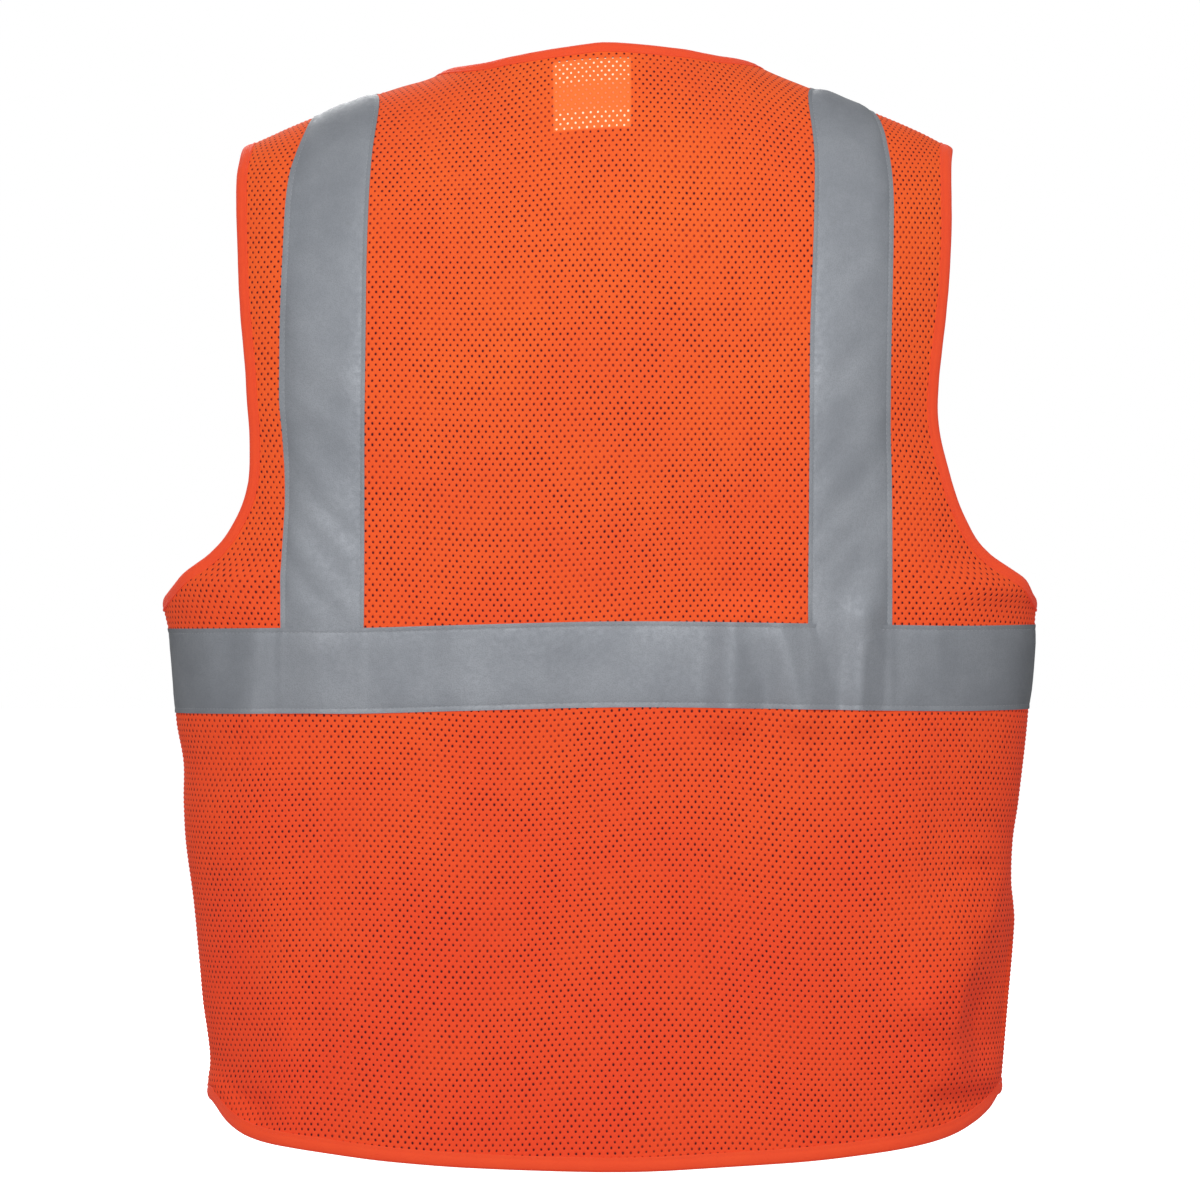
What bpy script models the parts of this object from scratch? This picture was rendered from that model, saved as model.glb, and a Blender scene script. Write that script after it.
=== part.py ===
"""A mesh high visibility vest with a separating front zip, in the shape it has when worn.

+Z is up, +X is the wearer's left, and the zip faces -Y. Heights are given above the hem at the
centre back, and place() moves them so that the origin lies between the wearer's shoulders.
Every cloth piece follows one torso surface, given by skin(). The two fronts turn about a fold
line that runs from the neck edge down to the hem, the slider runs up the wearer's right chain,
and the pull tab swings on the slider.
"""
from math import asin, cos, pi, radians, sin

import bmesh
import bpy
from mathutils import Matrix, Vector

# Torso surface: half width, depths and roundness.
SHOULDER_HEIGHT = 0.640          # height of the origin above the hem
BACK_DEPTH = 0.118
FRONT_DEPTH = 0.120
PLAN_POWER = 2.8                 # 2 is an ellipse, larger is boxier
ARCH_POWER = 2.2
ARCH_HEIGHT = 0.400              # above this the surface curves in to the shoulders
HALF_WIDTHS = [(-0.02, 0.2365), (0.0, 0.2385), (0.10, 0.2455), (0.20, 0.2522), (0.27, 0.2600),
               (0.332, 0.2640), (0.36, 0.2545), (0.40, 0.2370), (0.44, 0.2290), (0.70, 0.2270)]
RIDGE_HEIGHTS = [(0.0, 0.700), (0.025, 0.695), (0.050, 0.683), (0.075, 0.668), (0.0985, 0.657),
                 (0.122, 0.650), (0.175, 0.630), (0.209, 0.6145), (0.240, 0.597)]
HEM_RISE = 0.019                 # how far the hem rises on its way to the side
HEM_CORNER_RISE = 0.018          # and the last steep part next to the side seam

# Outlines of the mesh panels, inside their bindings.
UNDERARM_HEIGHT = 0.332
ARMHOLE_LINE = [(0.332, 0.2640), (0.3415, 0.2515), (0.3545, 0.2365), (0.3755, 0.2195),
                (0.4015, 0.2070), (0.424, 0.2024), (0.460, 0.1995), (0.530, 0.2055),
                (0.620, 0.2090)]
NECK_CORNER = 0.0985             # distance from the centre to the neck end of the shoulder seam
BACK_NECK_LINE = [(0.0, 0.667), (0.050, 0.662), (0.075, 0.658), (0.0985, 0.657)]
V_NECK_LINE = [(0.400, 0.0165), (0.450, 0.0310), (0.500, 0.0500), (0.550, 0.0680),
               (0.600, 0.0830), (0.640, 0.0945), (0.657, 0.0985)]
ZIP_EDGE = 0.0165                # distance from the centre to the front panel's zip edge

# Cloth thicknesses and the gaps between neighbours.
SEAM_GAP = 0.0004
CLOTH = 0.0009
BINDING_WIDTH = 0.0075
NECK_BINDING_WIDTH = 0.0065
BINDING_LIFTS = (-0.0006, 0.0015)
TAPE_WIDTH = 0.0508
TAPE_THICKNESS = 0.0005
BAND_LIFT = 0.0032
SHOULDER_TAPE_LIFT = 0.0020
BAND_MIDDLE = 0.2984
BAND_SIDE_DROP = 0.003
BAND_START = ZIP_EDGE + 0.0005
SHOULDER_TAPE_CENTRES = {"left": (0.1655, 0.1550), "right": (0.1495, 0.1475)}   # at band, at ridge
SHOULDER_TAPE_END = 0.300
WIDER_AT_RIDGE = 0.7             # how much of the width lost to the slope a tape regains there

# Places that the bindings' free edges face: the middles of the armholes and of the neck opening.
ARMHOLE_MIDDLE = (0.235, 0.46)   # distance from the centre, height
NECK_MIDDLE_HEIGHT = 0.675

# Fold line that each front turns about.
FOLD_BOTTOM_X = 0.170
FOLD_TOP = (0.052, 0.505)        # distance from the centre, height
FOLD_GAP = 0.0016
AXIS_CLEARANCE = 0.0125          # how far the axis stands in front of the cloth at its ends

# Separating zip, one chain each side of the centre.
ZIP_BOTTOM = 0.010
ZIP_TOP = 0.397
ZIP_TAPE_EDGE = 0.0092
ZIP_TAPE_WIDTH = 0.0155
ZIP_TAPE_THICKNESS = 0.0006
ZIP_Y = -FRONT_DEPTH + 0.0012     # middle plane of the zip tapes and the teeth
TOOTH_TIP = 0.0055
CHAIN_THICKNESS = 0.0024
FIRST_TOOTH = 0.0430
LAST_TOOTH = 0.3880
STOP_HEIGHTS = (0.3885, 0.3925)
STOP_THICKNESS = 0.0038
PIN_WIDTH = 0.0018
PIN_BOTTOM = 0.0115
BOX_HEIGHTS = (ZIP_BOTTOM, 0.0235)
BOX_X = (-0.0089, -0.0012)
BOX_THICKNESS = 0.0044
SOCKET_X = (-0.0054, -0.0030)    # socket for the insertion pin
SOCKET_THICKNESS = 0.0023
SLIDER_X = -0.0040
SLIDER_HALF_WIDTH = 0.0065
SLIDER_HALF_LENGTH = 0.0050
SLIDER_REST = 0.0290             # height of the slider's middle when it rests on the box
PLATE = 0.0010
CHANNEL = 0.0031                 # space between the slider's plates
WALL = 0.0009
BRIDGE_GAP = 0.0022
BRIDGE_HALF_WIDTH = 0.0012
BRIDGE_FOOT = 0.0015
PULL_PIVOT_DROP = 0.0020         # pivot below the slider's middle
PULL_LENGTH = 0.0230
PULL_HALF_WIDTH = 0.0040
PULL_THICKNESS = 0.0013
PULL_WINDOW = 0.0085             # length of the opening that swings round the bridge
PULL_ARM = 0.0012

# Patch pockets on the fronts.
POCKET_X = (0.0320, 0.1120)
POCKET_HEIGHTS = (0.0400, 0.1720)
POCKET_BULGE = 0.0085
POCKET_BINDING = 0.0100
POCKET_BINDING_WALL = 0.0005     # how far the binding stands off each face of the pocket
POCKET_GAP = 0.0003
SIDE_SWELL = 0.5                 # powers that round the bulge off: small ones make it fuller
FOOT_SWELL = 0.6
FOOT_SHARE = 1.8                 # the bulge is full at 1 / 1.8 of the height

# Label behind the back of the neck, inside the back panel.
LABEL_X = (-0.0175, 0.0280)
LABEL_HEIGHTS = (0.6180, 0.6610)
LABEL_LIFTS = (-0.0046, -0.0040)

# Grid of the panels: levels run from 0 at the hem to 1 at the arch's foot and 2 at the top edge.
UNDERARM_LEVEL = UNDERARM_HEIGHT / ARCH_HEIGHT
HEM_FADE_LEVEL = 0.75            # where the hem's curve has faded out of the levels
SIDE_LEVELS = [0.0, 0.05, 0.12, 0.22, 0.34, 0.46, 0.58, 0.70, 0.78, UNDERARM_LEVEL]
ARM_HEIGHTS = (0.3332, 0.3355, 0.3395, 0.346, 0.356, 0.369, 0.384, 0.400)
YOKE_STEPS = 9
FLAP_TOP_LEVEL = 1.19            # top of the part of a front that opens
NECK_START_LEVEL = 1.235         # lower ends of the binding round the neck
NECK_NEXT_LEVEL = 1.30
ARM_SHARES = (0.86, 0.93)        # closer columns of the back panel next to the armholes
HEM_START_SHARE = 0.02

# Clearances between moving or joined pieces.
CORD_GAP = 0.0001
FLANGE_GAP = 0.0003
SINK = 0.0002                    # how far joined blocks reach into each other
PIN_SINK = 0.001


def clear_scene():
    """Removes whatever the file already holds."""
    for ob in list(bpy.data.objects):
        bpy.data.objects.remove(ob, do_unlink=True)


def material(name, colour, roughness, metallic=0.0):
    """A Principled material with plain values."""
    made = bpy.data.materials.new(name)
    made.use_nodes = True
    shader = made.node_tree.nodes["Principled BSDF"]
    shader.inputs["Base Color"].default_value = (*colour, 1.0)
    shader.inputs["Roughness"].default_value = roughness
    shader.inputs["Metallic"].default_value = metallic
    return made


def curve_value(points, key):
    """Smooth value at key through (key, value) points, held level past both ends."""
    if key <= points[0][0]:
        return points[0][1]
    if key >= points[-1][0]:
        return points[-1][1]
    i = next(n for n in range(len(points) - 1) if key <= points[n + 1][0])
    (k0, v0), (k1, v1) = points[i], points[i + 1]

    def slope(n):
        low, high = max(n - 1, 0), min(n + 1, len(points) - 1)
        return (points[high][1] - points[low][1]) / (points[high][0] - points[low][0])

    span = k1 - k0
    t = (key - k0) / span
    hermite = (2 * t**3 - 3 * t**2 + 1, t**3 - 2 * t**2 + t, 3 * t**2 - 2 * t**3, t**3 - t**2)
    return (hermite[0] * v0 + hermite[1] * span * slope(i)
            + hermite[2] * v1 + hermite[3] * span * slope(i + 1))


def place(x, y, height):
    """World position of a point given by its height above the hem."""
    return Vector((x, y, height - SHOULDER_HEIGHT))


def ridge(x):
    """Height of the shoulder line."""
    return curve_value(RIDGE_HEIGHTS, abs(x))


def half_width(height):
    """Half width of the torso surface."""
    return curve_value(HALF_WIDTHS, height)


def hem(x):
    """Height of the panels' lower edge, above their binding."""
    ratio = min(abs(x) / half_width(0.0), 1.0)
    return BINDING_WIDTH + HEM_RISE * ratio**2 + HEM_CORNER_RISE * ratio**20


def arch(x, height):
    """How far up the shoulder curve a point is, from 0 at its foot to 1 on the shoulder line."""
    return max(height - ARCH_HEIGHT, 0.0) / (ridge(x) - ARCH_HEIGHT)


def plan(x, height):
    """Share of the full depth that the plan outline leaves at x."""
    ratio = min(abs(x) / half_width(height), 1.0)
    return (1.0 - ratio**PLAN_POWER) ** (1.0 / PLAN_POWER)


def depth(side, x, height):
    """Distance of the surface behind the origin, negative on the front."""
    full = BACK_DEPTH if side > 0 else FRONT_DEPTH
    rise = min(arch(x, height), 1.0)
    return side * full * plan(x, height) * (1.0 - rise**ARCH_POWER) ** (1.0 / ARCH_POWER)


def outward(side, x, y, height):
    """Unit normal of the torso surface, from the gradient of its equation."""
    full = BACK_DEPTH if side > 0 else FRONT_DEPTH
    on_arch = height > ARCH_HEIGHT

    def equation(px, py, pz):
        if on_arch:
            return (abs(py) / (full * plan(px, pz))) ** ARCH_POWER + arch(px, pz) ** ARCH_POWER
        return (abs(px) / half_width(pz)) ** PLAN_POWER + (abs(py) / full) ** PLAN_POWER

    step = 1e-5
    gradient = Vector((equation(x + step, y, height) - equation(x - step, y, height),
                       equation(x, y + step, height) - equation(x, y - step, height),
                       equation(x, y, height + step) - equation(x, y, height - step)))
    if gradient.length < 1e-9:
        return Vector((0.0, side, 0.0))
    return gradient.normalized()


def skin(side, x, height, lift=0.0):
    """Point on the front (side -1) or back (side 1) of the torso, lifted along its normal."""
    y = depth(side, x, height)
    normal = outward(side, x, y, height)
    return place(x, y + side * SEAM_GAP / 2, height) + normal * lift


def level_height(side, level, x):
    """Height of a grid level at x: 0 is the hem, 1 the foot of the arch, 2 the top edge."""
    if level <= 1.0:
        return level * ARCH_HEIGHT + hem(x) * max(1.0 - level / HEM_FADE_LEVEL, 0.0) ** 3
    top = 1.0
    if side > 0 and abs(x) < NECK_CORNER:
        top = min(arch(x, curve_value(BACK_NECK_LINE, abs(x))), 1.0)
    full_turn = asin(top ** (ARCH_POWER / 2))
    rise = sin((level - 1.0) * full_turn) ** (2 / ARCH_POWER)
    return ARCH_HEIGHT + (ridge(x) - ARCH_HEIGHT) * rise


def outer_edge(height):
    """Side seam below the underarm, armhole line above it."""
    if height <= UNDERARM_HEIGHT:
        return half_width(height)
    return curve_value(ARMHOLE_LINE, height)


def inner_edge(height):
    """Zip edge of a front panel, and its V neck edge above the zip."""
    return ZIP_EDGE if height <= ARCH_HEIGHT else curve_value(V_NECK_LINE, height)


def fold_edge(height):
    """Distance of the fold line from the centre."""
    share = height / FOLD_TOP[1]
    return FOLD_BOTTOM_X + (FOLD_TOP[0] - FOLD_BOTTOM_X) * share


def turn_at(x, height):
    """Angle round the plan outline, 0 at the centre and a quarter turn at the side."""
    ratio = min(max(x / half_width(height), 0.0), 1.0)
    return asin(ratio ** (PLAN_POWER / 2))


def across(side, share, level, inner, outer):
    """Position (x, height) at a share of the way from the inner to the outer edge of a level."""
    height = level_height(side, level, 0.15)
    x = 0.0
    for _ in range(12):
        low, high = inner(height), outer(height)
        sign = -1.0 if share < 0 else 1.0
        angle = turn_at(low, height) + abs(share) * (turn_at(high, height) - turn_at(low, height))
        x = sign * half_width(height) * sin(angle) ** (2 / PLAN_POWER)
        height = level_height(side, level, x)
    return x, height


def solid(name, look, bm):
    """Puts a finished mesh into the scene as a named object."""
    bmesh.ops.recalc_face_normals(bm, faces=bm.faces[:])
    mesh = bpy.data.meshes.new(name)
    bm.to_mesh(mesh)
    bm.free()
    mesh.materials.append(look)
    mesh.shade_smooth()
    mesh.set_sharp_from_angle(angle=radians(40))
    ob = bpy.data.objects.new(name, mesh)
    bpy.context.collection.objects.link(ob)
    return ob


def skin_solid(name, look, lower, upper):
    """Closed sheet between two equal grids of points."""
    bm = bmesh.new()
    rows, columns = len(lower), len(lower[0])
    grids = [[[bm.verts.new(p) for p in row] for row in grid] for grid in (lower, upper)]
    for i in range(rows - 1):
        for j in range(columns - 1):
            for grid in grids:
                bm.faces.new((grid[i][j], grid[i][j + 1], grid[i + 1][j + 1], grid[i + 1][j]))
    rim = ([(0, j) for j in range(columns)] + [(i, columns - 1) for i in range(1, rows)]
           + [(rows - 1, j) for j in range(columns - 2, -1, -1)]
           + [(i, 0) for i in range(rows - 2, 0, -1)])
    for (a, b), (c, d) in zip(rim, rim[1:] + rim[:1]):
        bm.faces.new((grids[0][a][b], grids[0][c][d], grids[1][c][d], grids[1][a][b]))
    return solid(name, look, bm)


def panel(name, look, side, levels, shares, inner, outer, mirror=1.0):
    """Mesh cloth panel over a grid of levels and shares."""
    grids = []
    for lift in (0.0, CLOTH):
        grid = []
        for level in levels:
            places = [across(side, share, level, inner, outer) for share in shares]
            grid.append([skin(side, mirror * x, height, lift) for x, height in places])
        grids.append(grid)
    return skin_solid(name, look, *grids)


def strip(name, look, path, towards, width, lifts=BINDING_LIFTS, gap=SEAM_GAP):
    """Folded binding beside a panel edge. The path holds (point, normal), towards is a point
    that the binding's free edge faces, or a direction where the edge is long."""
    lower, upper = [], []
    for n, (point, normal) in enumerate(path):
        before, after = path[max(n - 1, 0)][0], path[min(n + 1, len(path) - 1)][0]
        out = (after - before).cross(normal).normalized()
        if out.dot(towards(point)) < 0:
            out.negate()
        for grid, lift in ((lower, lifts[0]), (upper, lifts[1])):
            base = point + normal * lift
            grid.append([base + out * gap, base + out * (gap + width)])
    return skin_solid(name, look, lower, upper)


def edge_path(side, levels, share, inner, outer, mirror=1.0):
    """Points and normals along one edge of a panel."""
    path = []
    for level in levels:
        x, height = across(side, share, level, inner, outer)
        x *= mirror
        path.append((skin(side, x, height), outward(side, x, depth(side, x, height), height)))
    return path


def box(bm, low, high):
    """Adds an axis-aligned box."""
    middle = (Vector(low) + Vector(high)) / 2
    size = Vector(high) - Vector(low)
    bmesh.ops.create_cube(bm, size=1.0, matrix=Matrix.Translation(middle) @ Matrix.Diagonal(
        (*size, 1.0)))


def plain_box(name, look, corners):
    """One box as a named object."""
    bm = bmesh.new()
    box(bm, *corners)
    return solid(name, look, bm)


def carved(name, look, first, steps):
    """One solid from a box and a list of (operation, box) steps."""
    ob = plain_box(name, look, first)
    for n, (operation, corners) in enumerate(steps):
        guide = plain_box(f"{name}_guide_{n}", look, corners)
        guide.hide_render = True
        guide.display_type = "WIRE"
        step = ob.modifiers.new(f"step_{n}", "BOOLEAN")
        step.operation = operation
        step.object = guide
    return ob


def block(x_range, y_range, heights):
    """Corners of a box from its ranges, with heights above the hem."""
    low, high = sorted(x_range), sorted(y_range)
    return place(low[0], high[0], heights[0]), place(low[1], high[1], heights[1])


def about(middle, size):
    """Range of a given size about a middle."""
    return middle - size / 2, middle + size / 2


def sloped(start, end, count):
    """Evenly spaced values from start to end."""
    return [start + (end - start) * n / (count - 1) for n in range(count)]


def centre(_height):
    """Inner edge of a panel that reaches the centre line."""
    return 0.0


def fold_inner(height):
    """Inner edge of the part of a front that stays with the body."""
    return max(fold_edge(height) + FOLD_GAP / 2, inner_edge(height))


def fold_outer(height):
    """Outer edge of the part of a front that opens."""
    return fold_edge(height) - FOLD_GAP / 2


def band_start(_height):
    """Inner edge of the front band, just off the zip edge of the panel."""
    return BAND_START


def arm_centre(point):
    """Direction from a point to the middle of its armhole."""
    across_body, height = ARMHOLE_MIDDLE
    return place(across_body if point.x > 0 else -across_body, 0.0, height) - point


def neck_centre(point):
    """Direction from a point to the middle of the neck opening."""
    return place(0.0, 0.0, NECK_MIDDLE_HEIGHT) - point


def downward(_point):
    """Direction in which a hem's binding hangs."""
    return Vector((0.0, 0.0, -1.0))


def row_path(side, level, shares, inner, outer, mirror=1.0):
    """Points and normals along the hem or the top edge of a panel."""
    path = []
    for share in shares:
        x, height = across(side, share, level, inner, outer)
        x *= mirror
        path.append((skin(side, x, height), outward(side, x, depth(side, x, height), height)))
    return path


def band(name, side, shares, inner, outer, mirror=1.0):
    """Piece of the level reflective band, which sinks a little towards the side seams."""
    grids = []
    for lift in (BAND_LIFT, BAND_LIFT + TAPE_THICKNESS):
        grid = []
        for offset in (-TAPE_WIDTH / 2, 0.0, TAPE_WIDTH / 2):
            row = []
            for share in shares:
                height = BAND_MIDDLE + offset
                for _ in range(3):
                    low, high = (turn_at(edge(height), height) for edge in (inner, outer))
                    angle = low + abs(share) * (high - low)
                    reach = sin(angle) ** (2 / PLAN_POWER)
                    height = BAND_MIDDLE + offset - BAND_SIDE_DROP * reach**2
                x = half_width(height) * reach * (-mirror if share < 0 else mirror)
                row.append(skin(side, x, height, lift))
            grid.append(row)
        grids.append(grid)
    return skin_solid(name, silver_tape, *grids)


def shoulder_tape(name, sign, at_band, at_ridge):
    """Reflective tape from the back band over the shoulder to the front band."""
    low_level = SHOULDER_TAPE_END / ARCH_HEIGHT
    levels = sloped(low_level, 1.0, 7) + sloped(1.0, 2.0, 19)[1:]
    route = [(1, level) for level in levels] + [(-1, level) for level in levels[-2::-1]]
    grids = []
    for lift in (SHOULDER_TAPE_LIFT, SHOULDER_TAPE_LIFT + TAPE_THICKNESS):
        grid = []
        for side, level in route:
            risen = max(level - low_level, 0.0) / (2.0 - low_level)
            middle = at_band + (at_ridge - at_band) * risen
            height = level_height(side, level, middle)
            step = 0.001
            slope = (depth(side, middle + step, height)
                     - depth(side, middle - step, height)) / (2 * step)
            half = TAPE_WIDTH / 2 / (1.0 + slope**2) ** 0.5
            half += (TAPE_WIDTH / 2 - half) * max(level - 1.0, 0.0) ** 4 * WIDER_AT_RIDGE
            row = []
            for x in sloped(middle - half, middle + half, 4):
                row.append(skin(side, sign * x, level_height(side, level, x), lift))
            grid.append(row)
        grids.append(grid)
    return skin_solid(name, silver_tape, *grids)


def pocket_point(sign, share, height, rise, lift):
    """Point of a pocket at a share of its width, where rise is its share of the full bulge."""
    x = POCKET_X[0] + (POCKET_X[1] - POCKET_X[0]) * share
    bulge = POCKET_BULGE * sin(pi * share) ** SIDE_SWELL * rise
    return skin(-1, sign * x, height, CLOTH + SEAM_GAP + POCKET_GAP + bulge + lift)


def pocket(name, sign):
    """Patch pocket, standing away from the panel so that a hand's depth is left inside."""
    low, high = POCKET_HEIGHTS
    grids = []
    for wall in (0.0, CLOTH):
        grid = []
        for v in sloped(0.0, 1.0, 8):
            rise = sin(pi / 2 * min(v * FOOT_SHARE, 1.0)) ** FOOT_SWELL
            grid.append([pocket_point(sign, u, low + (high - low) * v, rise, wall)
                         for u in sloped(0.0, 1.0, 9)])
        grids.append(grid)
    return skin_solid(name, orange_mesh, *grids)


def pocket_binding(name, sign):
    """Folded binding on the pocket's mouth."""
    top = POCKET_HEIGHTS[1]
    wall = POCKET_BINDING_WALL
    grids = []
    for lift in (0.0, CLOTH + 2 * wall):
        grid = []
        for height in (top + SEAM_GAP, top + POCKET_BINDING):
            grid.append([pocket_point(sign, u, height, 1.0, lift + CORD_GAP)
                         for u in sloped(0.0, 1.0, 9)])
        grids.append(grid)
    return skin_solid(name, orange_binding, *grids)


def fold_axis(sign):
    """Bottom and top points of the line that a front turns about."""
    bottom = place(sign * FOLD_BOTTOM_X, depth(-1, FOLD_BOTTOM_X, 0.0) - AXIS_CLEARANCE, 0.0)
    top_x, top_height = FOLD_TOP
    top = place(sign * top_x, depth(-1, top_x, top_height) - AXIS_CLEARANCE, top_height)
    return bottom, top


joint_frames = {}


def hang(name, location, axis, members, parent=None):
    """Parents pieces to an empty whose Z lies along the joint that moves them."""
    empty = bpy.data.objects.new(name, None)
    bpy.context.collection.objects.link(empty)
    turn = Vector(axis).to_track_quat("Z", "Y").to_matrix().to_4x4()
    world = Matrix.Translation(location) @ turn
    if parent is not None:
        empty.parent = parent
        empty.matrix_parent_inverse = Matrix.Identity(4)
        empty.matrix_basis = joint_frames[parent.name].inverted() @ world
    else:
        empty.matrix_basis = world
    joint_frames[name] = world
    for member in members:
        ob = bpy.data.objects[member]
        ob.parent = empty
        ob.matrix_parent_inverse = world.inverted()
    return empty


clear_scene()
orange_mesh = material("orange_mesh", (0.90, 0.10, 0.02), 0.85)
orange_binding = material("orange_binding", (0.92, 0.09, 0.02), 0.75)
silver_tape = material("silver_tape", (0.30, 0.32, 0.35), 0.45)
zip_cloth = material("zip_cloth", (0.85, 0.10, 0.03), 0.80)
zip_plastic = material("zip_plastic", (0.80, 0.12, 0.03), 0.40)
zip_metal = material("zip_metal", (0.55, 0.56, 0.58), 0.35, 0.9)
label_cloth = material("label_cloth", (0.85, 0.85, 0.83), 0.70)

arm_levels = [height / ARCH_HEIGHT for height in ARM_HEIGHTS]
yoke_levels = sloped(1.0, 2.0, YOKE_STEPS + 1)[1:]
levels = SIDE_LEVELS + arm_levels + yoke_levels
armhole_levels = [UNDERARM_LEVEL] + arm_levels + yoke_levels
flap_levels = [level for level in levels if level < FLAP_TOP_LEVEL] + [FLAP_TOP_LEVEL]
front_shares = sloped(0.0, 1.0, 8)
flap_shares = sloped(0.0, 1.0, 7)
arm_x, arm_top = ARMHOLE_LINE[-1][1], ridge(ARMHOLE_LINE[-1][1])
neck_share = turn_at(NECK_CORNER, ridge(NECK_CORNER)) / turn_at(arm_x, arm_top)
half_shares = sloped(0.0, neck_share, 5) + sloped(neck_share, ARM_SHARES[0], 7)[1:]
half_shares += [ARM_SHARES[1], 1.0]
back_shares = [-share for share in reversed(half_shares[1:])] + half_shares
side_signs = {"left": 1.0, "right": -1.0}

# Back panel, its label and its band.
panel("back_panel", orange_mesh, 1, levels, back_shares, centre, outer_edge)
label_grids = [[[skin(1, x, height, lift) for x in sloped(*LABEL_X, 5)]
                for height in sloped(*LABEL_HEIGHTS, 6)] for lift in LABEL_LIFTS]
skin_solid("neck_label", label_cloth, *label_grids)
band("back_band", 1, back_shares, centre, half_width)

for word, sign in side_signs.items():
    # The front panel, in two rigid parts either side of its fold line.
    panel(f"{word}_front_side", orange_mesh, -1, levels, front_shares, fold_inner, outer_edge, sign)
    panel(f"{word}_front_flap", orange_mesh, -1, flap_levels, flap_shares, inner_edge,
          fold_outer, sign)

    # Armhole binding: down the back edge, under the arm and up the front edge.
    back_edge = edge_path(1, reversed(armhole_levels), 1.0, centre, outer_edge, sign)
    front_edge = edge_path(-1, armhole_levels, 1.0, centre, outer_edge, sign)
    strip(f"{word}_armhole_binding", orange_binding, back_edge[:-1] + front_edge, arm_centre,
          BINDING_WIDTH)

    # Bindings of the part that opens: along the V neck and along the hem.
    v_levels = [level for level in flap_levels if level >= 1.0]
    v_edge = edge_path(-1, v_levels, 0.0, inner_edge, fold_outer, sign)
    strip(f"{word}_neck_binding_end", orange_binding, v_edge, neck_centre, NECK_BINDING_WIDTH)
    flap_hem = row_path(-1, 0.0, flap_shares, inner_edge, fold_outer, sign)
    strip(f"{word}_front_hem_binding", orange_binding, flap_hem, downward, BINDING_WIDTH)

    # Reflective band, in a part that stays and a part that opens, and the tape over the shoulder.
    band(f"{word}_front_band_side", -1, front_shares, fold_inner, half_width, sign)
    band(f"{word}_front_band_flap", -1, flap_shares, band_start, fold_outer, sign)
    shoulder_tape(f"{word}_shoulder_tape", sign, *SHOULDER_TAPE_CENTRES[word])

    pocket(f"{word}_pocket", sign)
    pocket_binding(f"{word}_pocket_binding", sign)

    # Zip tape behind the panel's edge, and the bar that holds its row of moulded teeth.
    zip_tape_x = (sign * ZIP_TAPE_EDGE, sign * (ZIP_TAPE_EDGE + ZIP_TAPE_WIDTH))
    plain_box(f"{word}_zip_tape", zip_cloth,
              block(zip_tape_x, about(ZIP_Y, ZIP_TAPE_THICKNESS), (ZIP_BOTTOM, ZIP_TOP)))
    chain_x = (sign * TOOTH_TIP, sign * (ZIP_TAPE_EDGE - SEAM_GAP))
    plain_box(f"{word}_zip_chain", zip_plastic,
              block(chain_x, about(ZIP_Y, CHAIN_THICKNESS), (FIRST_TOOTH, LAST_TOOTH)))
    plain_box(f"{word}_zip_stop", zip_plastic,
              block(chain_x, about(ZIP_Y, STOP_THICKNESS), STOP_HEIGHTS))

# Neck binding: up one V edge, round the back of the neck and down the other.
neck_levels = [NECK_START_LEVEL] + [level for level in yoke_levels if level > NECK_NEXT_LEVEL]
left_v = edge_path(-1, neck_levels, 0.0, inner_edge, outer_edge)
right_v = edge_path(-1, reversed(neck_levels), 0.0, inner_edge, outer_edge, -1.0)
neck_shares = [share for share in reversed(back_shares) if abs(share) < neck_share - 0.001]
neck_back = row_path(1, 2.0, neck_shares, centre, outer_edge)
strip("neck_binding", orange_binding, left_v + neck_back + right_v, neck_centre,
      NECK_BINDING_WIDTH)

# Hem binding round the back, from one fold line to the other.
side_shares = [HEM_START_SHARE] + front_shares[1:-1]
left_hem = row_path(-1, 0.0, side_shares, fold_inner, outer_edge)
right_hem = row_path(-1, 0.0, side_shares, fold_inner, outer_edge, -1.0)
back_hem = row_path(1, 0.0, reversed(back_shares), centre, outer_edge)
strip("hem_binding", orange_binding, left_hem + back_hem + right_hem[::-1], downward,
      BINDING_WIDTH)

# Retainer box with its fixed pin on the right chain, and the insertion pin on the left one.
pin_edge = ZIP_TAPE_EDGE - SEAM_GAP + CORD_GAP
pin_x = (pin_edge, pin_edge - PIN_WIDTH)
fixed_pin = block([-x for x in pin_x], about(ZIP_Y, PIN_WIDTH),
                  (BOX_HEIGHTS[1] - PIN_SINK, FIRST_TOOTH - SEAM_GAP))
socket = block(SOCKET_X, about(ZIP_Y, SOCKET_THICKNESS), (PIN_BOTTOM, BOX_HEIGHTS[1] + PIN_SINK))
carved("retainer_box", zip_plastic, block(BOX_X, about(ZIP_Y, BOX_THICKNESS), BOX_HEIGHTS),
       [("UNION", fixed_pin), ("DIFFERENCE", socket)])
plain_box("insertion_pin", zip_plastic,
          block(pin_x, about(ZIP_Y, PIN_WIDTH), (PIN_BOTTOM, FIRST_TOOTH - SEAM_GAP)))

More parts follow.
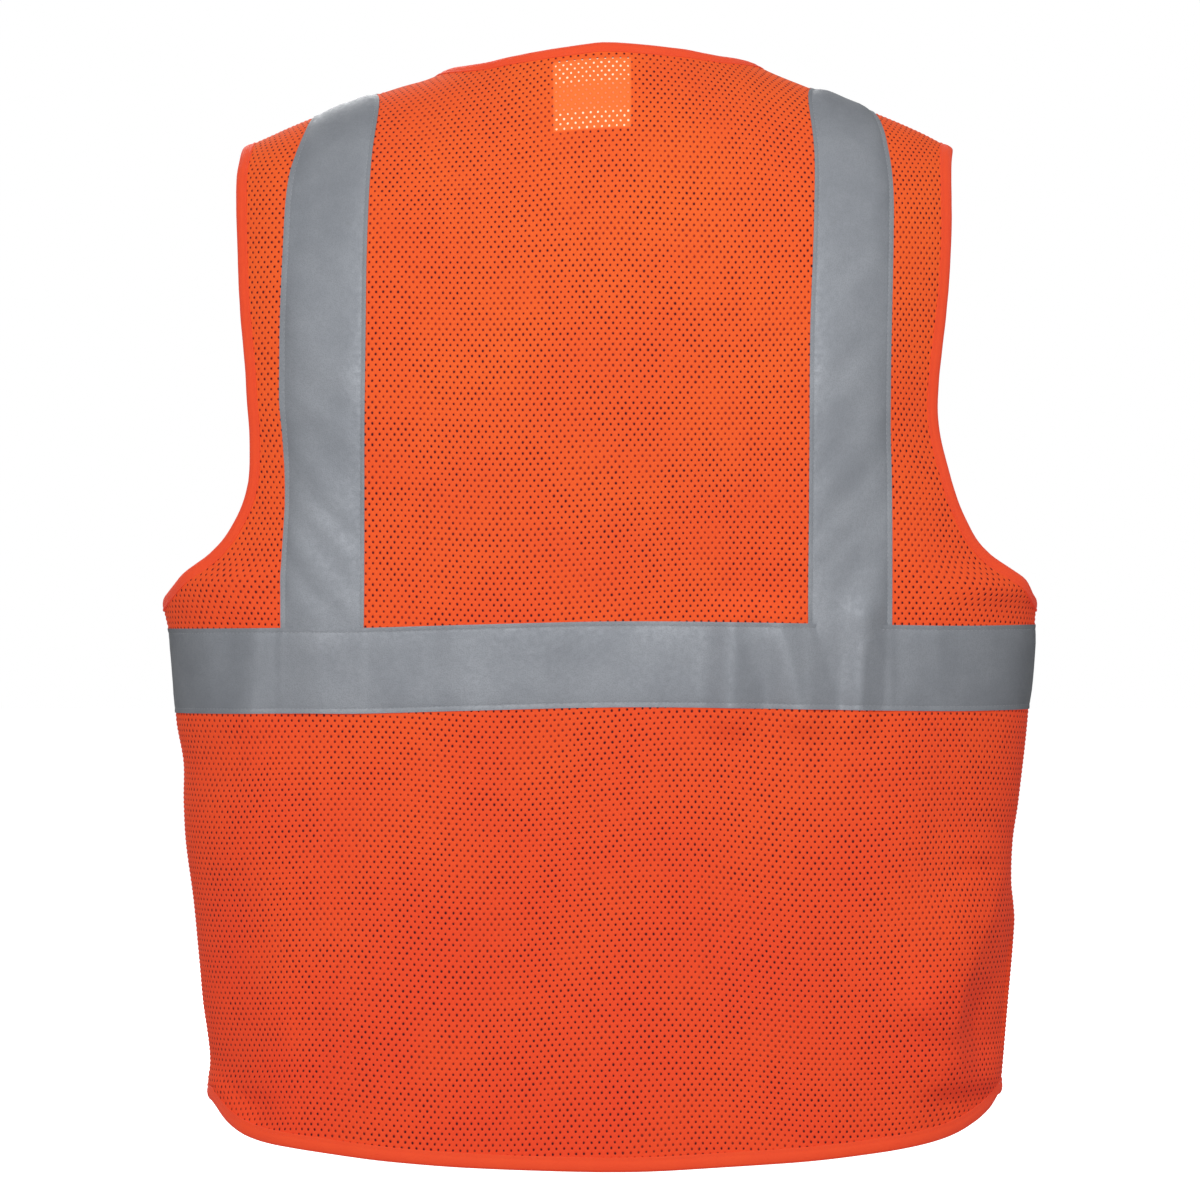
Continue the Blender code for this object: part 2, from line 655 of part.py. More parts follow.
# Slider: two plates, the diamond between them, flanges at their sides and the bridge in front.
slider_x = about(SLIDER_X, 2 * SLIDER_HALF_WIDTH)
slider_z = about(SLIDER_REST, 2 * SLIDER_HALF_LENGTH)
bridge_x = about(SLIDER_X, 2 * BRIDGE_HALF_WIDTH)
front_face, back_face = about(ZIP_Y, CHANNEL)
flange_reach = CHANNEL / 2 - ZIP_TAPE_THICKNESS / 2 - FLANGE_GAP
bridge_top = front_face - PLATE - BRIDGE_GAP
slider_steps = [
    ("UNION", block(slider_x, (back_face, back_face + PLATE), slider_z)),
    ("UNION", block(bridge_x, (front_face - SINK, back_face + SINK),
                    (SLIDER_REST + BRIDGE_FOOT, slider_z[1]))),
]
for edge, inward in ((slider_x[0], WALL), (slider_x[1], -WALL)):
    wall_x = (edge, edge + inward)
    slider_steps.append(("UNION", block(wall_x, (front_face - SINK, front_face + flange_reach),
                                        slider_z)))
    slider_steps.append(("UNION", block(wall_x, (back_face + SINK, back_face - flange_reach),
                                        slider_z)))
for foot in ((slider_z[0], slider_z[0] + BRIDGE_FOOT), (slider_z[1] - BRIDGE_FOOT, slider_z[1])):
    slider_steps.append(("UNION", block(bridge_x, (front_face - PLATE / 2, bridge_top - SINK),
                                        foot)))
slider_steps.append(("UNION", block(bridge_x, (bridge_top, bridge_top - WALL), slider_z)))
carved("zip_slider", zip_metal, block(slider_x, (front_face, front_face - PLATE), slider_z),
       slider_steps)

# Pull tab: a plate with a window, whose top bar turns inside the bridge.
pivot_height = SLIDER_REST - PULL_PIVOT_DROP
pivot = place(SLIDER_X, front_face - PLATE - BRIDGE_GAP / 2, pivot_height)
pull_x = about(SLIDER_X, 2 * PULL_HALF_WIDTH)
window_x = (pull_x[0] + PULL_ARM, pull_x[1] - PULL_ARM)
window = block(window_x, about(pivot.y, 2 * PULL_THICKNESS),
               (pivot_height - PULL_WINDOW, pivot_height - PULL_THICKNESS / 2))
carved("pull_tab", zip_metal,
       block(pull_x, about(pivot.y, PULL_THICKNESS),
             (pivot_height - PULL_LENGTH, pivot_height + PULL_THICKNESS / 2)),
       [("DIFFERENCE", window)])

# Joints: the two fronts, the slider on the right front's chain, and the pull tab on the slider.
front_pieces = ("front_flap", "neck_binding_end", "front_hem_binding", "front_band_flap", "pocket",
                "pocket_binding", "zip_tape", "zip_chain", "zip_stop")
bottom, top = fold_axis(1.0)
hang("left_front_hinge", bottom, top - bottom,
     [f"left_{piece}" for piece in front_pieces] + ["insertion_pin"])
bottom, top = fold_axis(-1.0)
right_hinge = hang("right_front_hinge", bottom, bottom - top,
                   [f"right_{piece}" for piece in front_pieces] + ["retainer_box"])
track = hang("slider_track", place(SLIDER_X, ZIP_Y, SLIDER_REST), (0.0, 0.0, 1.0), ["zip_slider"],
             right_hinge)
hang("pull_hinge", pivot, (-1.0, 0.0, 0.0), ["pull_tab"], track)
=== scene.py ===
"""The looks of the mesh high visibility vest, on the frame that the CAD model gives.

The row frame: +Z up, +X the wearer's left, the zip faces -Y, origin between the shoulders.
Heights in this script are above the hem at the centre back; skin() moves them to the row frame.
Every cloth piece lies on one torso surface, the one the CAD panels follow, with soft folds added.
"""
import math

import bmesh
import bpy
import numpy as np
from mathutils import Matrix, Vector, noise


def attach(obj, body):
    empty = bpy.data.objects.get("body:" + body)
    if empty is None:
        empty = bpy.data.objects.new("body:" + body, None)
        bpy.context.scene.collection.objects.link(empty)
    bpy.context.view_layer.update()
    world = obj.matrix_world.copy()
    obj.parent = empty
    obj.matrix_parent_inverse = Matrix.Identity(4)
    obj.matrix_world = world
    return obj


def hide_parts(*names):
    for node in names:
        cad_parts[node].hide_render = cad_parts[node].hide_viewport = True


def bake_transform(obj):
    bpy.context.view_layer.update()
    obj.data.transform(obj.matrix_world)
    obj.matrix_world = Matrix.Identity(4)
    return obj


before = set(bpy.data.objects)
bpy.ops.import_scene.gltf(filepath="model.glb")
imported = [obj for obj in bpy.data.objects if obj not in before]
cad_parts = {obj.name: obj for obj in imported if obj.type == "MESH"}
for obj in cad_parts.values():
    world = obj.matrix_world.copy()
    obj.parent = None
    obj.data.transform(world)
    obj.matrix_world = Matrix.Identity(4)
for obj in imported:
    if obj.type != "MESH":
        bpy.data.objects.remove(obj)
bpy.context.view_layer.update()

# The torso surface of the CAD model.
SHOULDER_HEIGHT = 0.640
DROP = -SHOULDER_HEIGHT           # from heights above the hem to the row frame's z
DEPTHS = {1: 0.118, -1: 0.120}
PLAN_POWER = 2.8
ARCH_POWER = 2.2
ARCH_HEIGHT = 0.400
HALF_WIDTHS = [(-0.02, 0.2365), (0.0, 0.2385), (0.10, 0.2455), (0.20, 0.2522), (0.27, 0.2600),
               (0.332, 0.2640), (0.36, 0.2545), (0.40, 0.2370), (0.44, 0.2290), (0.70, 0.2270)]
RIDGE_HEIGHTS = [(0.0, 0.700), (0.025, 0.695), (0.050, 0.683), (0.075, 0.668), (0.0985, 0.657),
                 (0.122, 0.650), (0.175, 0.630), (0.209, 0.6145), (0.240, 0.597)]
HEM_RISE = 0.019
HEM_CORNER_RISE = 0.018
UNDERARM_HEIGHT = 0.332
ARMHOLE_LINE = [(0.332, 0.2640), (0.3415, 0.2515), (0.3545, 0.2365), (0.3755, 0.2195),
                (0.4015, 0.2070), (0.424, 0.2024), (0.460, 0.1995), (0.530, 0.2055),
                (0.620, 0.2090)]
NECK_CORNER = 0.0985
BACK_NECK_LINE = [(0.0, 0.667), (0.050, 0.662), (0.075, 0.658), (0.0985, 0.657)]
V_NECK_LINE = [(0.400, 0.0165), (0.450, 0.0310), (0.500, 0.0500), (0.550, 0.0680),
               (0.600, 0.0830), (0.640, 0.0945), (0.657, 0.0985)]
ZIP_EDGE = 0.0165
SEAM_GAP = 0.0004
CLOTH = 0.0009
BINDING_WIDTH = 0.0075
NECK_BINDING_WIDTH = 0.0065
FOLD_BOTTOM = (0.17, -0.11323, -0.64)
FOLD_TOP = (0.052, -0.12543, -0.135)
ZIP_Y = -0.1188
ZIP_BOTTOM = 0.010
ZIP_TOP = 0.397
POCKET_X = (0.0320, 0.1120)
POCKET_HEIGHTS = (0.0400, 0.1720)
POCKET_BULGE = 0.0085

# Lines of the reflective tapes: the band's as (x, height), the shoulder tapes' as (height, x).
BAND_HEIGHT = 0.298
BAND_LINE = [(-0.26, 0.2978), (-0.217, 0.2973), (-0.17, 0.2979), (-0.06, 0.2998), (0.0, 0.2999),
             (0.08, 0.2979), (0.142, 0.2961), (0.177, 0.2961), (0.26, 0.2954)]
TAPE_LINES = {"left": [(0.30, 0.1646), (0.485, 0.1621), (0.56, 0.1612), (0.60, 0.1593),
                       (0.635, 0.1537)],
              "right": [(0.30, 0.1480), (0.485, 0.1487), (0.56, 0.1513), (0.60, 0.1518),
                        (0.635, 0.1470)]}
SIGNS = {"left": 1.0, "right": -1.0}


def curve(points, key):
    """Smooth values at the keys through (key, value) points, held level past both ends."""
    keys = np.array([p[0] for p in points])
    values = np.array([p[1] for p in points])
    slopes = np.empty(len(keys))
    slopes[1:-1] = (values[2:] - values[:-2]) / (keys[2:] - keys[:-2])
    slopes[0] = (values[1] - values[0]) / (keys[1] - keys[0])
    slopes[-1] = (values[-1] - values[-2]) / (keys[-1] - keys[-2])
    key = np.clip(np.asarray(key, float), keys[0], keys[-1])
    i = np.clip(np.searchsorted(keys[1:], key), 0, len(keys) - 2)
    span = keys[i + 1] - keys[i]
    t = (key - keys[i]) / span
    return ((2 * t**3 - 3 * t**2 + 1) * values[i] + (t**3 - 2 * t**2 + t) * span * slopes[i]
            + (3 * t**2 - 2 * t**3) * values[i + 1] + (t**3 - t**2) * span * slopes[i + 1])


def smooth(value, low, high):
    """0 below low, 1 above high, smooth between."""
    t = np.clip((value - low) / (high - low), 0.0, 1.0)
    return t * t * (3 - 2 * t)


def ridge(x):
    return curve(RIDGE_HEIGHTS, np.abs(x))


def half_width(height):
    return curve(HALF_WIDTHS, height)


def hem(x):
    ratio = np.minimum(np.abs(x) / half_width(0.0), 1.0)
    return BINDING_WIDTH + HEM_RISE * ratio**2 + HEM_CORNER_RISE * ratio**20


def arch(x, height):
    """How far up the shoulder curve, from 0 at its foot to 1 on the shoulder line."""
    return np.clip((height - ARCH_HEIGHT) / (ridge(x) - ARCH_HEIGHT), 0.0, 1.0)


def plan(x, height):
    ratio = np.minimum(np.abs(x) / half_width(height), 1.0)
    return (1.0 - ratio**PLAN_POWER) ** (1.0 / PLAN_POWER)


def depth(side, x, height):
    """Distance of the surface behind the origin, negative on the front."""
    rise = (1.0 - arch(x, height) ** ARCH_POWER) ** (1.0 / ARCH_POWER)
    return side * DEPTHS[side] * plan(x, height) * rise


def outward(side, x, height):
    """Unit normals of the torso surface, from the gradient of its equation."""
    y = depth(side, x, height)
    full, step = DEPTHS[side], 1e-5
    on_arch = height > ARCH_HEIGHT

    def equation(px, py, pz):
        low = (np.abs(px) / half_width(pz)) ** PLAN_POWER + (np.abs(py) / full) ** PLAN_POWER
        lift = np.maximum(pz - ARCH_HEIGHT, 0.0) / (ridge(px) - ARCH_HEIGHT)
        high = (np.abs(py) / (full * np.maximum(plan(px, pz), 1e-4))) ** ARCH_POWER
        return np.where(on_arch, high + lift**ARCH_POWER, low)

    gradient = np.stack([equation(x + step, y, height) - equation(x - step, y, height),
                         equation(x, y + step, height) - equation(x, y - step, height),
                         equation(x, y, height + step) - equation(x, y, height - step)], -1)
    length = np.linalg.norm(gradient, axis=-1, keepdims=True)
    return np.where(length > 1e-9, gradient / np.maximum(length, 1e-12), [0.0, side, 0.0])


def waves(x, height, across, up, seed):
    """Smooth noise from -1 to 1 over the cloth, with bumps of the given sizes."""
    flat = [noise.noise(Vector((a / across, b / up, seed)))
            for a, b in zip(np.ravel(x), np.ravel(height))]
    return np.reshape(flat, np.shape(x))


# Creases of the back: (start, end, height, depth, gentle side's width, steep side's width). The
# points are (x, height). The cloth stands up by the height on the line's left, looking from start
# to end, and drops by the depth on its right.
CREASES = [((-0.2440, 0.174), (-0.2090, 0.092), 0.0110, 0.0080, 0.034, 0.030),
           ((-0.2090, 0.092), (-0.2125, 0.066), 0.0060, 0.0060, 0.030, 0.020),
           ((-0.236, 0.048), (-0.208, 0.048), 0.0040, 0.0060, 0.024, 0.016),
           ((0.240, 0.046), (0.222, 0.030), 0.0025, 0.0045, 0.020, 0.014)]
CREASE_END = 0.014
# Hollows beside them: (x, height), half width, half height, depth.
DENTS = [((-0.236, 0.178), 0.022, 0.0050, 0.0050)]
# Puckers of the band and the cloth under it: x of the crest, x of the foot, height, lean.
PUCKERS = [(-0.0795, -0.0980, 0.0068, -0.03), (-0.1140, -0.1350, 0.0064, 0.28),
           (-0.1560, -0.1685, 0.0050, -0.05), (-0.2030, -0.2140, 0.0008, 0.05),
           (0.0820, 0.0680, 0.0010, 0.10), (0.2060, 0.1860, 0.0026, -0.10),
           (0.2360, 0.2200, 0.0012, 0.10), (0.0320, 0.0180, 0.0007, -0.10),
           (0.1660, 0.1460, 0.0013, 0.10)]


def crease_lift(x, height):
    """How far the back's creases stand out of the back, in metres."""
    total = np.zeros(np.shape(x))
    for (x0, h0), (x1, h1), high, deep, gentle, steep in CREASES:
        length = math.hypot(x1 - x0, h1 - h0)
        ux, uh = (x1 - x0) / length, (h1 - h0) / length
        along = (x - x0) * ux + (height - h0) * uh
        off = (x - x0) * uh - (height - h0) * ux
        fall = np.maximum(off, 0.0) / steep
        valley = (high + deep) * np.minimum(fall / 0.6, 1.0) * np.exp(-np.maximum(fall - 0.6, 0) ** 2)
        swell = high * np.exp(-((off / gentle) ** 2))
        past = np.maximum(np.maximum(-along, along - length), 0.0)
        total = total + (swell - valley) * np.exp(-((past / CREASE_END) ** 2))
    for (x0, h0), wide, tall, deep in DENTS:
        total = total - deep * np.exp(-(((x - x0) / wide) ** 2) - ((height - h0) / tall) ** 2)
    near_band = 1.0 - smooth(np.abs(height - BAND_HEIGHT), 0.029, 0.046)
    for crest, foot, high, lean in PUCKERS:
        share = (x - lean * (height - BAND_HEIGHT) - crest) / (foot - crest)
        total = total + high * near_band * smooth(share, -1.2, 0.0) * np.clip(1.0 - share, 0.0, 1.0)
    return np.clip(total, -0.012, 0.011)


def folds(side, x, height):
    """Lift of the cloth off the plain torso surface, fading out at the seams and openings."""
    ratio = np.abs(x) / half_width(height)
    at_seam = 1.0 - smooth(ratio, 0.90, 0.995)
    at_ridge = 1.0 - smooth(arch(x, height), 0.55, 0.95)
    low = 1.0 - smooth(height, 0.20, 0.34)
    lift = 0.0028 * waves(x, height, 0.085, 0.30, 3.1 + side)
    lift = lift + 0.0040 * low * waves(x, height, 0.060, 0.26, 8.4 + side)
    lift = lift + 0.0012 * waves(x, height, 0.034, 0.070, 5.7 + side)
    if side < 0:
        lift = lift * smooth(np.abs(x), 0.02, 0.07)
    return lift * at_seam * at_ridge


# How far the outline stands off the plain torso, as (height, metres outward), by side.
SIDE_SHIFTS = {
    1: [(0.0, -0.003), (0.0152, -0.003), (0.0274, -0.0056), (0.0396, -0.0066), (0.0457, -0.005),
        (0.058, -0.0072), (0.070, -0.0073), (0.094, -0.0055), (0.119, -0.0049), (0.155, -0.0037),
        (0.192, -0.0014), (0.216, -0.0024), (0.2406, -0.0052), (0.265, -0.0037), (0.289, -0.0049),
        (0.3136, -0.0047), (0.330, -0.0012), (0.344, 0.0035), (0.350, 0.0040), (0.362, -0.0018),
        (0.387, -0.0030), (0.411, -0.0012), (0.435, 0.0018), (0.460, 0.0055), (0.557, 0.0055),
        (0.594, 0.0049), (0.606, 0.0030), (0.620, 0.0)],
    -1: [(0.0, -0.006), (0.0152, -0.006), (0.0213, -0.003), (0.033, 0.001), (0.0457, 0.0012),
         (0.094, 0.0018), (0.143, 0.0026), (0.155, 0.0012), (0.167, -0.0008), (0.192, -0.0018),
         (0.216, -0.0006), (0.289, -0.0010), (0.3136, -0.0012), (0.333, 0.0002), (0.344, 0.0067),
         (0.350, 0.0055), (0.362, -0.0012), (0.387, -0.0014), (0.411, -0.0012), (0.435, -0.0037),
         (0.460, -0.0037), (0.557, -0.0014), (0.606, -0.0018), (0.620, 0.0)]}
NECK_SHIFTS = [(-0.150, 0.0), (-0.120, 0.0006), (-0.098, 0.0034), (-0.085, 0.0040),
               (-0.060, 0.0028), (-0.030, 0.0016), (-0.012, 0.0012), (0.0, 0.0002),
               (0.040, -0.0012), (0.060, -0.0016), (0.090, -0.0006), (0.110, -0.0016),
               (0.150, -0.0006), (0.190, 0.0)]
HEM_SHIFTS = [(-0.240, 0.0042), (-0.225, 0.0034), (-0.205, 0.0018), (-0.180, 0.0012),
              (-0.140, 0.0008), (-0.080, 0.0010), (-0.030, 0.0002), (0.0, 0.0), (0.120, 0.0006),
              (0.180, 0.0006), (0.210, -0.0006), (0.230, -0.0014)]


def settled(points, x, height):
    """The points moved to where the worn vest hangs unevenly."""
    ratio = np.abs(x) / half_width(height)
    at_side = smooth(ratio, 0.70, 0.88)
    shift = np.where(x > 0, curve(SIDE_SHIFTS[1], height), -curve(SIDE_SHIFTS[-1], height))
    rise = curve(NECK_SHIFTS, x) * smooth(height, 0.54, 0.63)
    rise = rise + curve(HEM_SHIFTS, x) * (1.0 - smooth(height, 0.0, 0.10))
    zeros = np.zeros(np.shape(x))
    return points + np.stack([shift * at_side, zeros, rise], -1)


def skin(side, x, height, lift=0.0):
    """Points on the front (side -1) or back (side 1) of the vest, lifted along the normal."""
    x, height = np.broadcast_arrays(np.asarray(x, float), np.asarray(height, float))
    normal = outward(side, x, height)
    base = np.stack([x, depth(side, x, height) + side * SEAM_GAP / 2,
                     height - SHOULDER_HEIGHT], -1)
    base = base + normal * (lift + folds(side, x, height))[..., None]
    if side > 0:
        at_side = 1.0 - smooth(np.abs(x) / half_width(height), 0.985, 1.0)
        base = base + np.stack([0 * x, crease_lift(x, height) * at_side, 0 * x], -1)
    return settled(base, x, height)


def level_height(side, level, x):
    """Height of a grid level at x: 0 is the hem, 1 the foot of the arch, 2 the top edge."""
    low = level * ARCH_HEIGHT + hem(x) * np.maximum(1.0 - level / 0.75, 0.0) ** 3
    top = np.ones(np.shape(x))
    if side > 0:
        inside = np.abs(x) < NECK_CORNER
        top = np.where(inside, arch(x, curve(BACK_NECK_LINE, np.abs(x))), top)
    turn = np.arcsin(top ** (ARCH_POWER / 2))
    rise = np.sin(np.clip(level - 1.0, 0.0, 1.0) * turn) ** (2 / ARCH_POWER)
    return np.where(level <= 1.0, low, ARCH_HEIGHT + (ridge(x) - ARCH_HEIGHT) * rise)


def outer_edge(height):
    return np.where(height <= UNDERARM_HEIGHT, half_width(height), curve(ARMHOLE_LINE, height))


def inner_edge(height):
    return np.where(height <= ARCH_HEIGHT, ZIP_EDGE, curve(V_NECK_LINE, height))


def centre(height):
    return np.zeros(np.shape(height))


def turn_at(x, height):
    """Angle round the plan outline, 0 at the centre and a quarter turn at the side."""
    ratio = np.clip(x / half_width(height), 0.0, 1.0)
    return np.arcsin(ratio ** (PLAN_POWER / 2))


def across(side, share, level, inner, outer):
    """Positions (x, height) at shares of the way from the inner to the outer edge of levels."""
    share, level = np.broadcast_arrays(np.asarray(share, float), np.asarray(level, float))
    x = np.full(share.shape, 0.15)
    for _ in range(14):
        height = level_height(side, level, x)
        low, high = turn_at(inner(height), height), turn_at(outer(height), height)
        angle = low + np.abs(share) * (high - low)
        x = np.where(share < 0, -1.0, 1.0) * half_width(height) * np.sin(angle) ** (2 / PLAN_POWER)
    return x, level_height(side, level, x)


def weave(side, x, height):
    """Place on the flat cloth: metres across from the centre line, and metres up."""
    steps = np.linspace(0.0, 1.0, 25)
    xs = x[..., None] * steps
    ys = depth(side, xs, np.broadcast_to(height[..., None], xs.shape))
    wide = np.sum(np.hypot(np.diff(xs, axis=-1), np.diff(ys, axis=-1)), -1) * np.sign(x)
    rises = arch(x, height)[..., None] * steps
    deep = DEPTHS[side] * plan(x, height)[..., None]
    ys = deep * (1.0 - rises**ARCH_POWER) ** (1.0 / ARCH_POWER)
    hs = (ridge(x) - ARCH_HEIGHT)[..., None] * rises
    high = np.sum(np.hypot(np.diff(hs, axis=-1), np.diff(ys, axis=-1)), -1)
    high = high + np.minimum(height, ARCH_HEIGHT)
    pull_u = 0.0026 * waves(x, height, 0.090, 0.140, 51.0 + side)
    pull_v = 0.0060 * waves(x, height, 0.120, 0.260, 57.0 + side)
    return np.stack([wide + pull_u, high + pull_v], -1)


# Meshes.

def add_mesh(name, points, faces, look, coords=None, angle=50):
    """Puts a mesh into the scene, with its weave coordinates in metres."""
    mesh = bpy.data.meshes.new(name)
    mesh.from_pydata(np.asarray(points, float).reshape(-1, 3).tolist(), [], faces)
    if coords is not None:
        layer = mesh.uv_layers.new(name="weave")
        index = np.empty(len(mesh.loops), np.int32)
        mesh.loops.foreach_get("vertex_index", index)
        flat = np.asarray(coords, np.float32).reshape(-1, 2)[index]
        layer.data.foreach_set("uv", flat.ravel())
    bm = bmesh.new()
    bm.from_mesh(mesh)
    bmesh.ops.recalc_face_normals(bm, faces=bm.faces[:])
    bm.to_mesh(mesh)
    bm.free()
    mesh.shade_smooth()
    mesh.set_sharp_from_angle(angle=math.radians(angle))
    mesh.materials.append(look)
    made = bpy.data.objects.new(name, mesh)
    bpy.context.collection.objects.link(made)
    return made


def cloth(name, lower, upper, coords, look):
    """Closed sheet between two equal grids of points."""
    rows, columns = lower.shape[:2]
    count = rows * columns
    index = np.arange(count).reshape(rows, columns)
    quads = np.stack([index[:-1, :-1], index[:-1, 1:], index[1:, 1:], index[1:, :-1]],
                     -1).reshape(-1, 4)
    rim = np.concatenate([index[0, :], index[1:, -1], index[-1, -2::-1], index[-2:0:-1, 0]])
    after = np.roll(rim, -1)
    edges = np.stack([rim, after, after + count, rim + count], -1)
    faces = np.concatenate([quads, quads[:, ::-1] + count, edges]).tolist()
    points = np.concatenate([upper.reshape(-1, 3), lower.reshape(-1, 3)])
    both = np.concatenate([coords.reshape(-1, 2)] * 2)
    return add_mesh(name, points, faces, look, both)


def panel(name, look, side, levels, shares, inner, outer, mirror=1.0):
    """Mesh cloth panel over a grid of levels and shares."""
    x, height = across(side, np.array(shares)[None, :], np.array(levels)[:, None], inner, outer)
    lower = skin(side, mirror * x, height)
    upper = skin(side, mirror * x, height, CLOTH)
    return cloth(name, lower, upper, weave(side, mirror * x, height), look)


def lengths(points):
    """Distance along a line of points."""
    steps = np.linalg.norm(np.diff(points, axis=0), axis=-1)
    return np.concatenate([[0.0], np.cumsum(steps)])


def edge_line(side, levels, share, inner, outer, mirror=1.0):
    """Points and normals along one edge of a panel."""
    x, height = across(side, share, np.array(levels), inner, outer)
    return skin(side, mirror * x, height), outward(side, mirror * x, height)


def row_line(side, level, shares, inner, outer, mirror=1.0):
    """Points and normals along the hem or the top edge of a panel."""
    x, height = across(side, np.array(shares), level, inner, outer)
    return skin(side, mirror * x, height), outward(side, mirror * x, height)


def joined(*lines):
    """One line of points and normals from several, with doubled points left out."""
    points = np.concatenate([line[0] for line in lines])
    normals = np.concatenate([line[1] for line in lines])
    keep = np.concatenate([[True], np.linalg.norm(np.diff(points, axis=0), axis=-1) > 2e-4])
    return points[keep], normals[keep]


def resampled(line, pitch):
    """The same line with evenly spaced points."""
    points, normals = line
    along = lengths(points)
    count = max(int(round(along[-1] / pitch)), 2) + 1
    places = np.linspace(0.0, along[-1], count)
    points = np.stack([np.interp(places, along, points[:, k]) for k in range(3)], -1)
    normals = np.stack([np.interp(places, along, normals[:, k]) for k in range(3)], -1)
    return points, normals / np.linalg.norm(normals, axis=-1, keepdims=True)


DOWN = (0.0, 0.0, -1.0)


def beside(line, target):
    """Unit directions along the surface, off the line, towards a point or straight down."""
    points, normals = line
    out = np.cross(np.gradient(points, axis=0), normals)
    out /= np.linalg.norm(out, axis=-1, keepdims=True)
    towards = np.broadcast_to(DOWN, points.shape) if target is DOWN else np.array(target) - points
    return out * np.sign(np.sum(out * towards, -1, keepdims=True))


# Section of a folded binding, in mm: off the panel's edge, and off its inner face. It wraps the
# raw edge, and its two hems are stitched together through the panel.
BINDING_SECTION = [(-1.3, 1.35), (-0.6, 1.62), (0.5, 1.30), (1.5, 1.72), (3.5, 1.95), (5.6, 1.75),
                   (7.0, 1.15), (7.5, 0.40), (7.1, -0.40), (5.8, -0.95), (3.5, -1.15),
                   (1.5, -0.95), (0.5, -0.45), (-0.6, -0.80), (-1.3, -0.45)]


def binding(name, look, line, target, width):
    """Folded binding along a panel edge, with its row of stitches."""
    points, normals = line = resampled(line, 0.004)
    out = beside(line, target)
    squeeze = width / BINDING_WIDTH
    rings = []
    ripple = np.array([noise.noise(Vector((a * 90.0, width * 700.0, 2.0)))
                       for a in lengths(points)])
    for off, rise in BINDING_SECTION:
        off = off * (squeeze if off > 0 else 1.0) / 1000
        rise = rise / 1000 + 0.00018 * ripple * (1.0 if rise > 0 else -1.0)
        rings.append(points + out * off + normals * np.reshape(rise, (-1, 1)))
    rings = np.stack(rings, 1)
    count, sides = rings.shape[:2]
    index = np.arange(count * sides).reshape(count, sides)
    turned = np.roll(index, -1, 1)
    faces = np.stack([index[:-1], turned[:-1], turned[1:], index[1:]], -1).reshape(-1, 4).tolist()
    faces += [index[0].tolist(), index[-1, ::-1].tolist()]
    girth = np.concatenate([[0.0], np.cumsum(np.linalg.norm(np.diff(
        np.array(BINDING_SECTION), axis=0), axis=-1))]) / 1000
    coords = np.stack(np.broadcast_arrays(lengths(points)[:, None], girth[None, :]), -1)
    made = add_mesh(name, rings, faces, look, coords, 60)
    row = points + out * 0.0005 * squeeze + normals * 0.00132, normals
    back_row = points + out * 0.0005 * squeeze - normals * 0.00048, -normals
    threads = stitches(f"{name}_stitching", [row, back_row], orange_thread)
    return made, threads


def stitches(name, rows, look, pitch=0.0028, length=0.0021, width=0.00034, height=0.00030):
    """Rows of sewn stitches, each a short tapered thread that dips in at both ends."""
    points, faces = [], []
    for line in rows:
        middles, normals = resampled(line, pitch)
        along = np.gradient(middles, axis=0)
        along /= np.linalg.norm(along, axis=-1, keepdims=True)
        sides = np.cross(along, normals)
        for middle, run, normal, side in zip(middles, along, normals, sides):
            first = len(points)
            reach, wide, tall = run * length / 2, side * width / 2, normal * height / 2
            points += [middle - reach - tall * 1.4,
                       middle - reach * 0.5 + wide, middle - reach * 0.5 + tall,
                       middle - reach * 0.5 - wide, middle - reach * 0.5 - tall,
                       middle + reach * 0.5 + wide, middle + reach * 0.5 + tall,
                       middle + reach * 0.5 - wide, middle + reach * 0.5 - tall,
                       middle + reach - tall * 1.4]
            for k in range(4):
                n = (k + 1) % 4
                faces += [(first, first + 1 + n, first + 1 + k),
                          (first + 1 + k, first + 1 + n, first + 5 + n, first + 5 + k),
                          (first + 9, first + 5 + k, first + 5 + n)]
    return add_mesh(name, points, faces, look, None, 180)


# Materials.

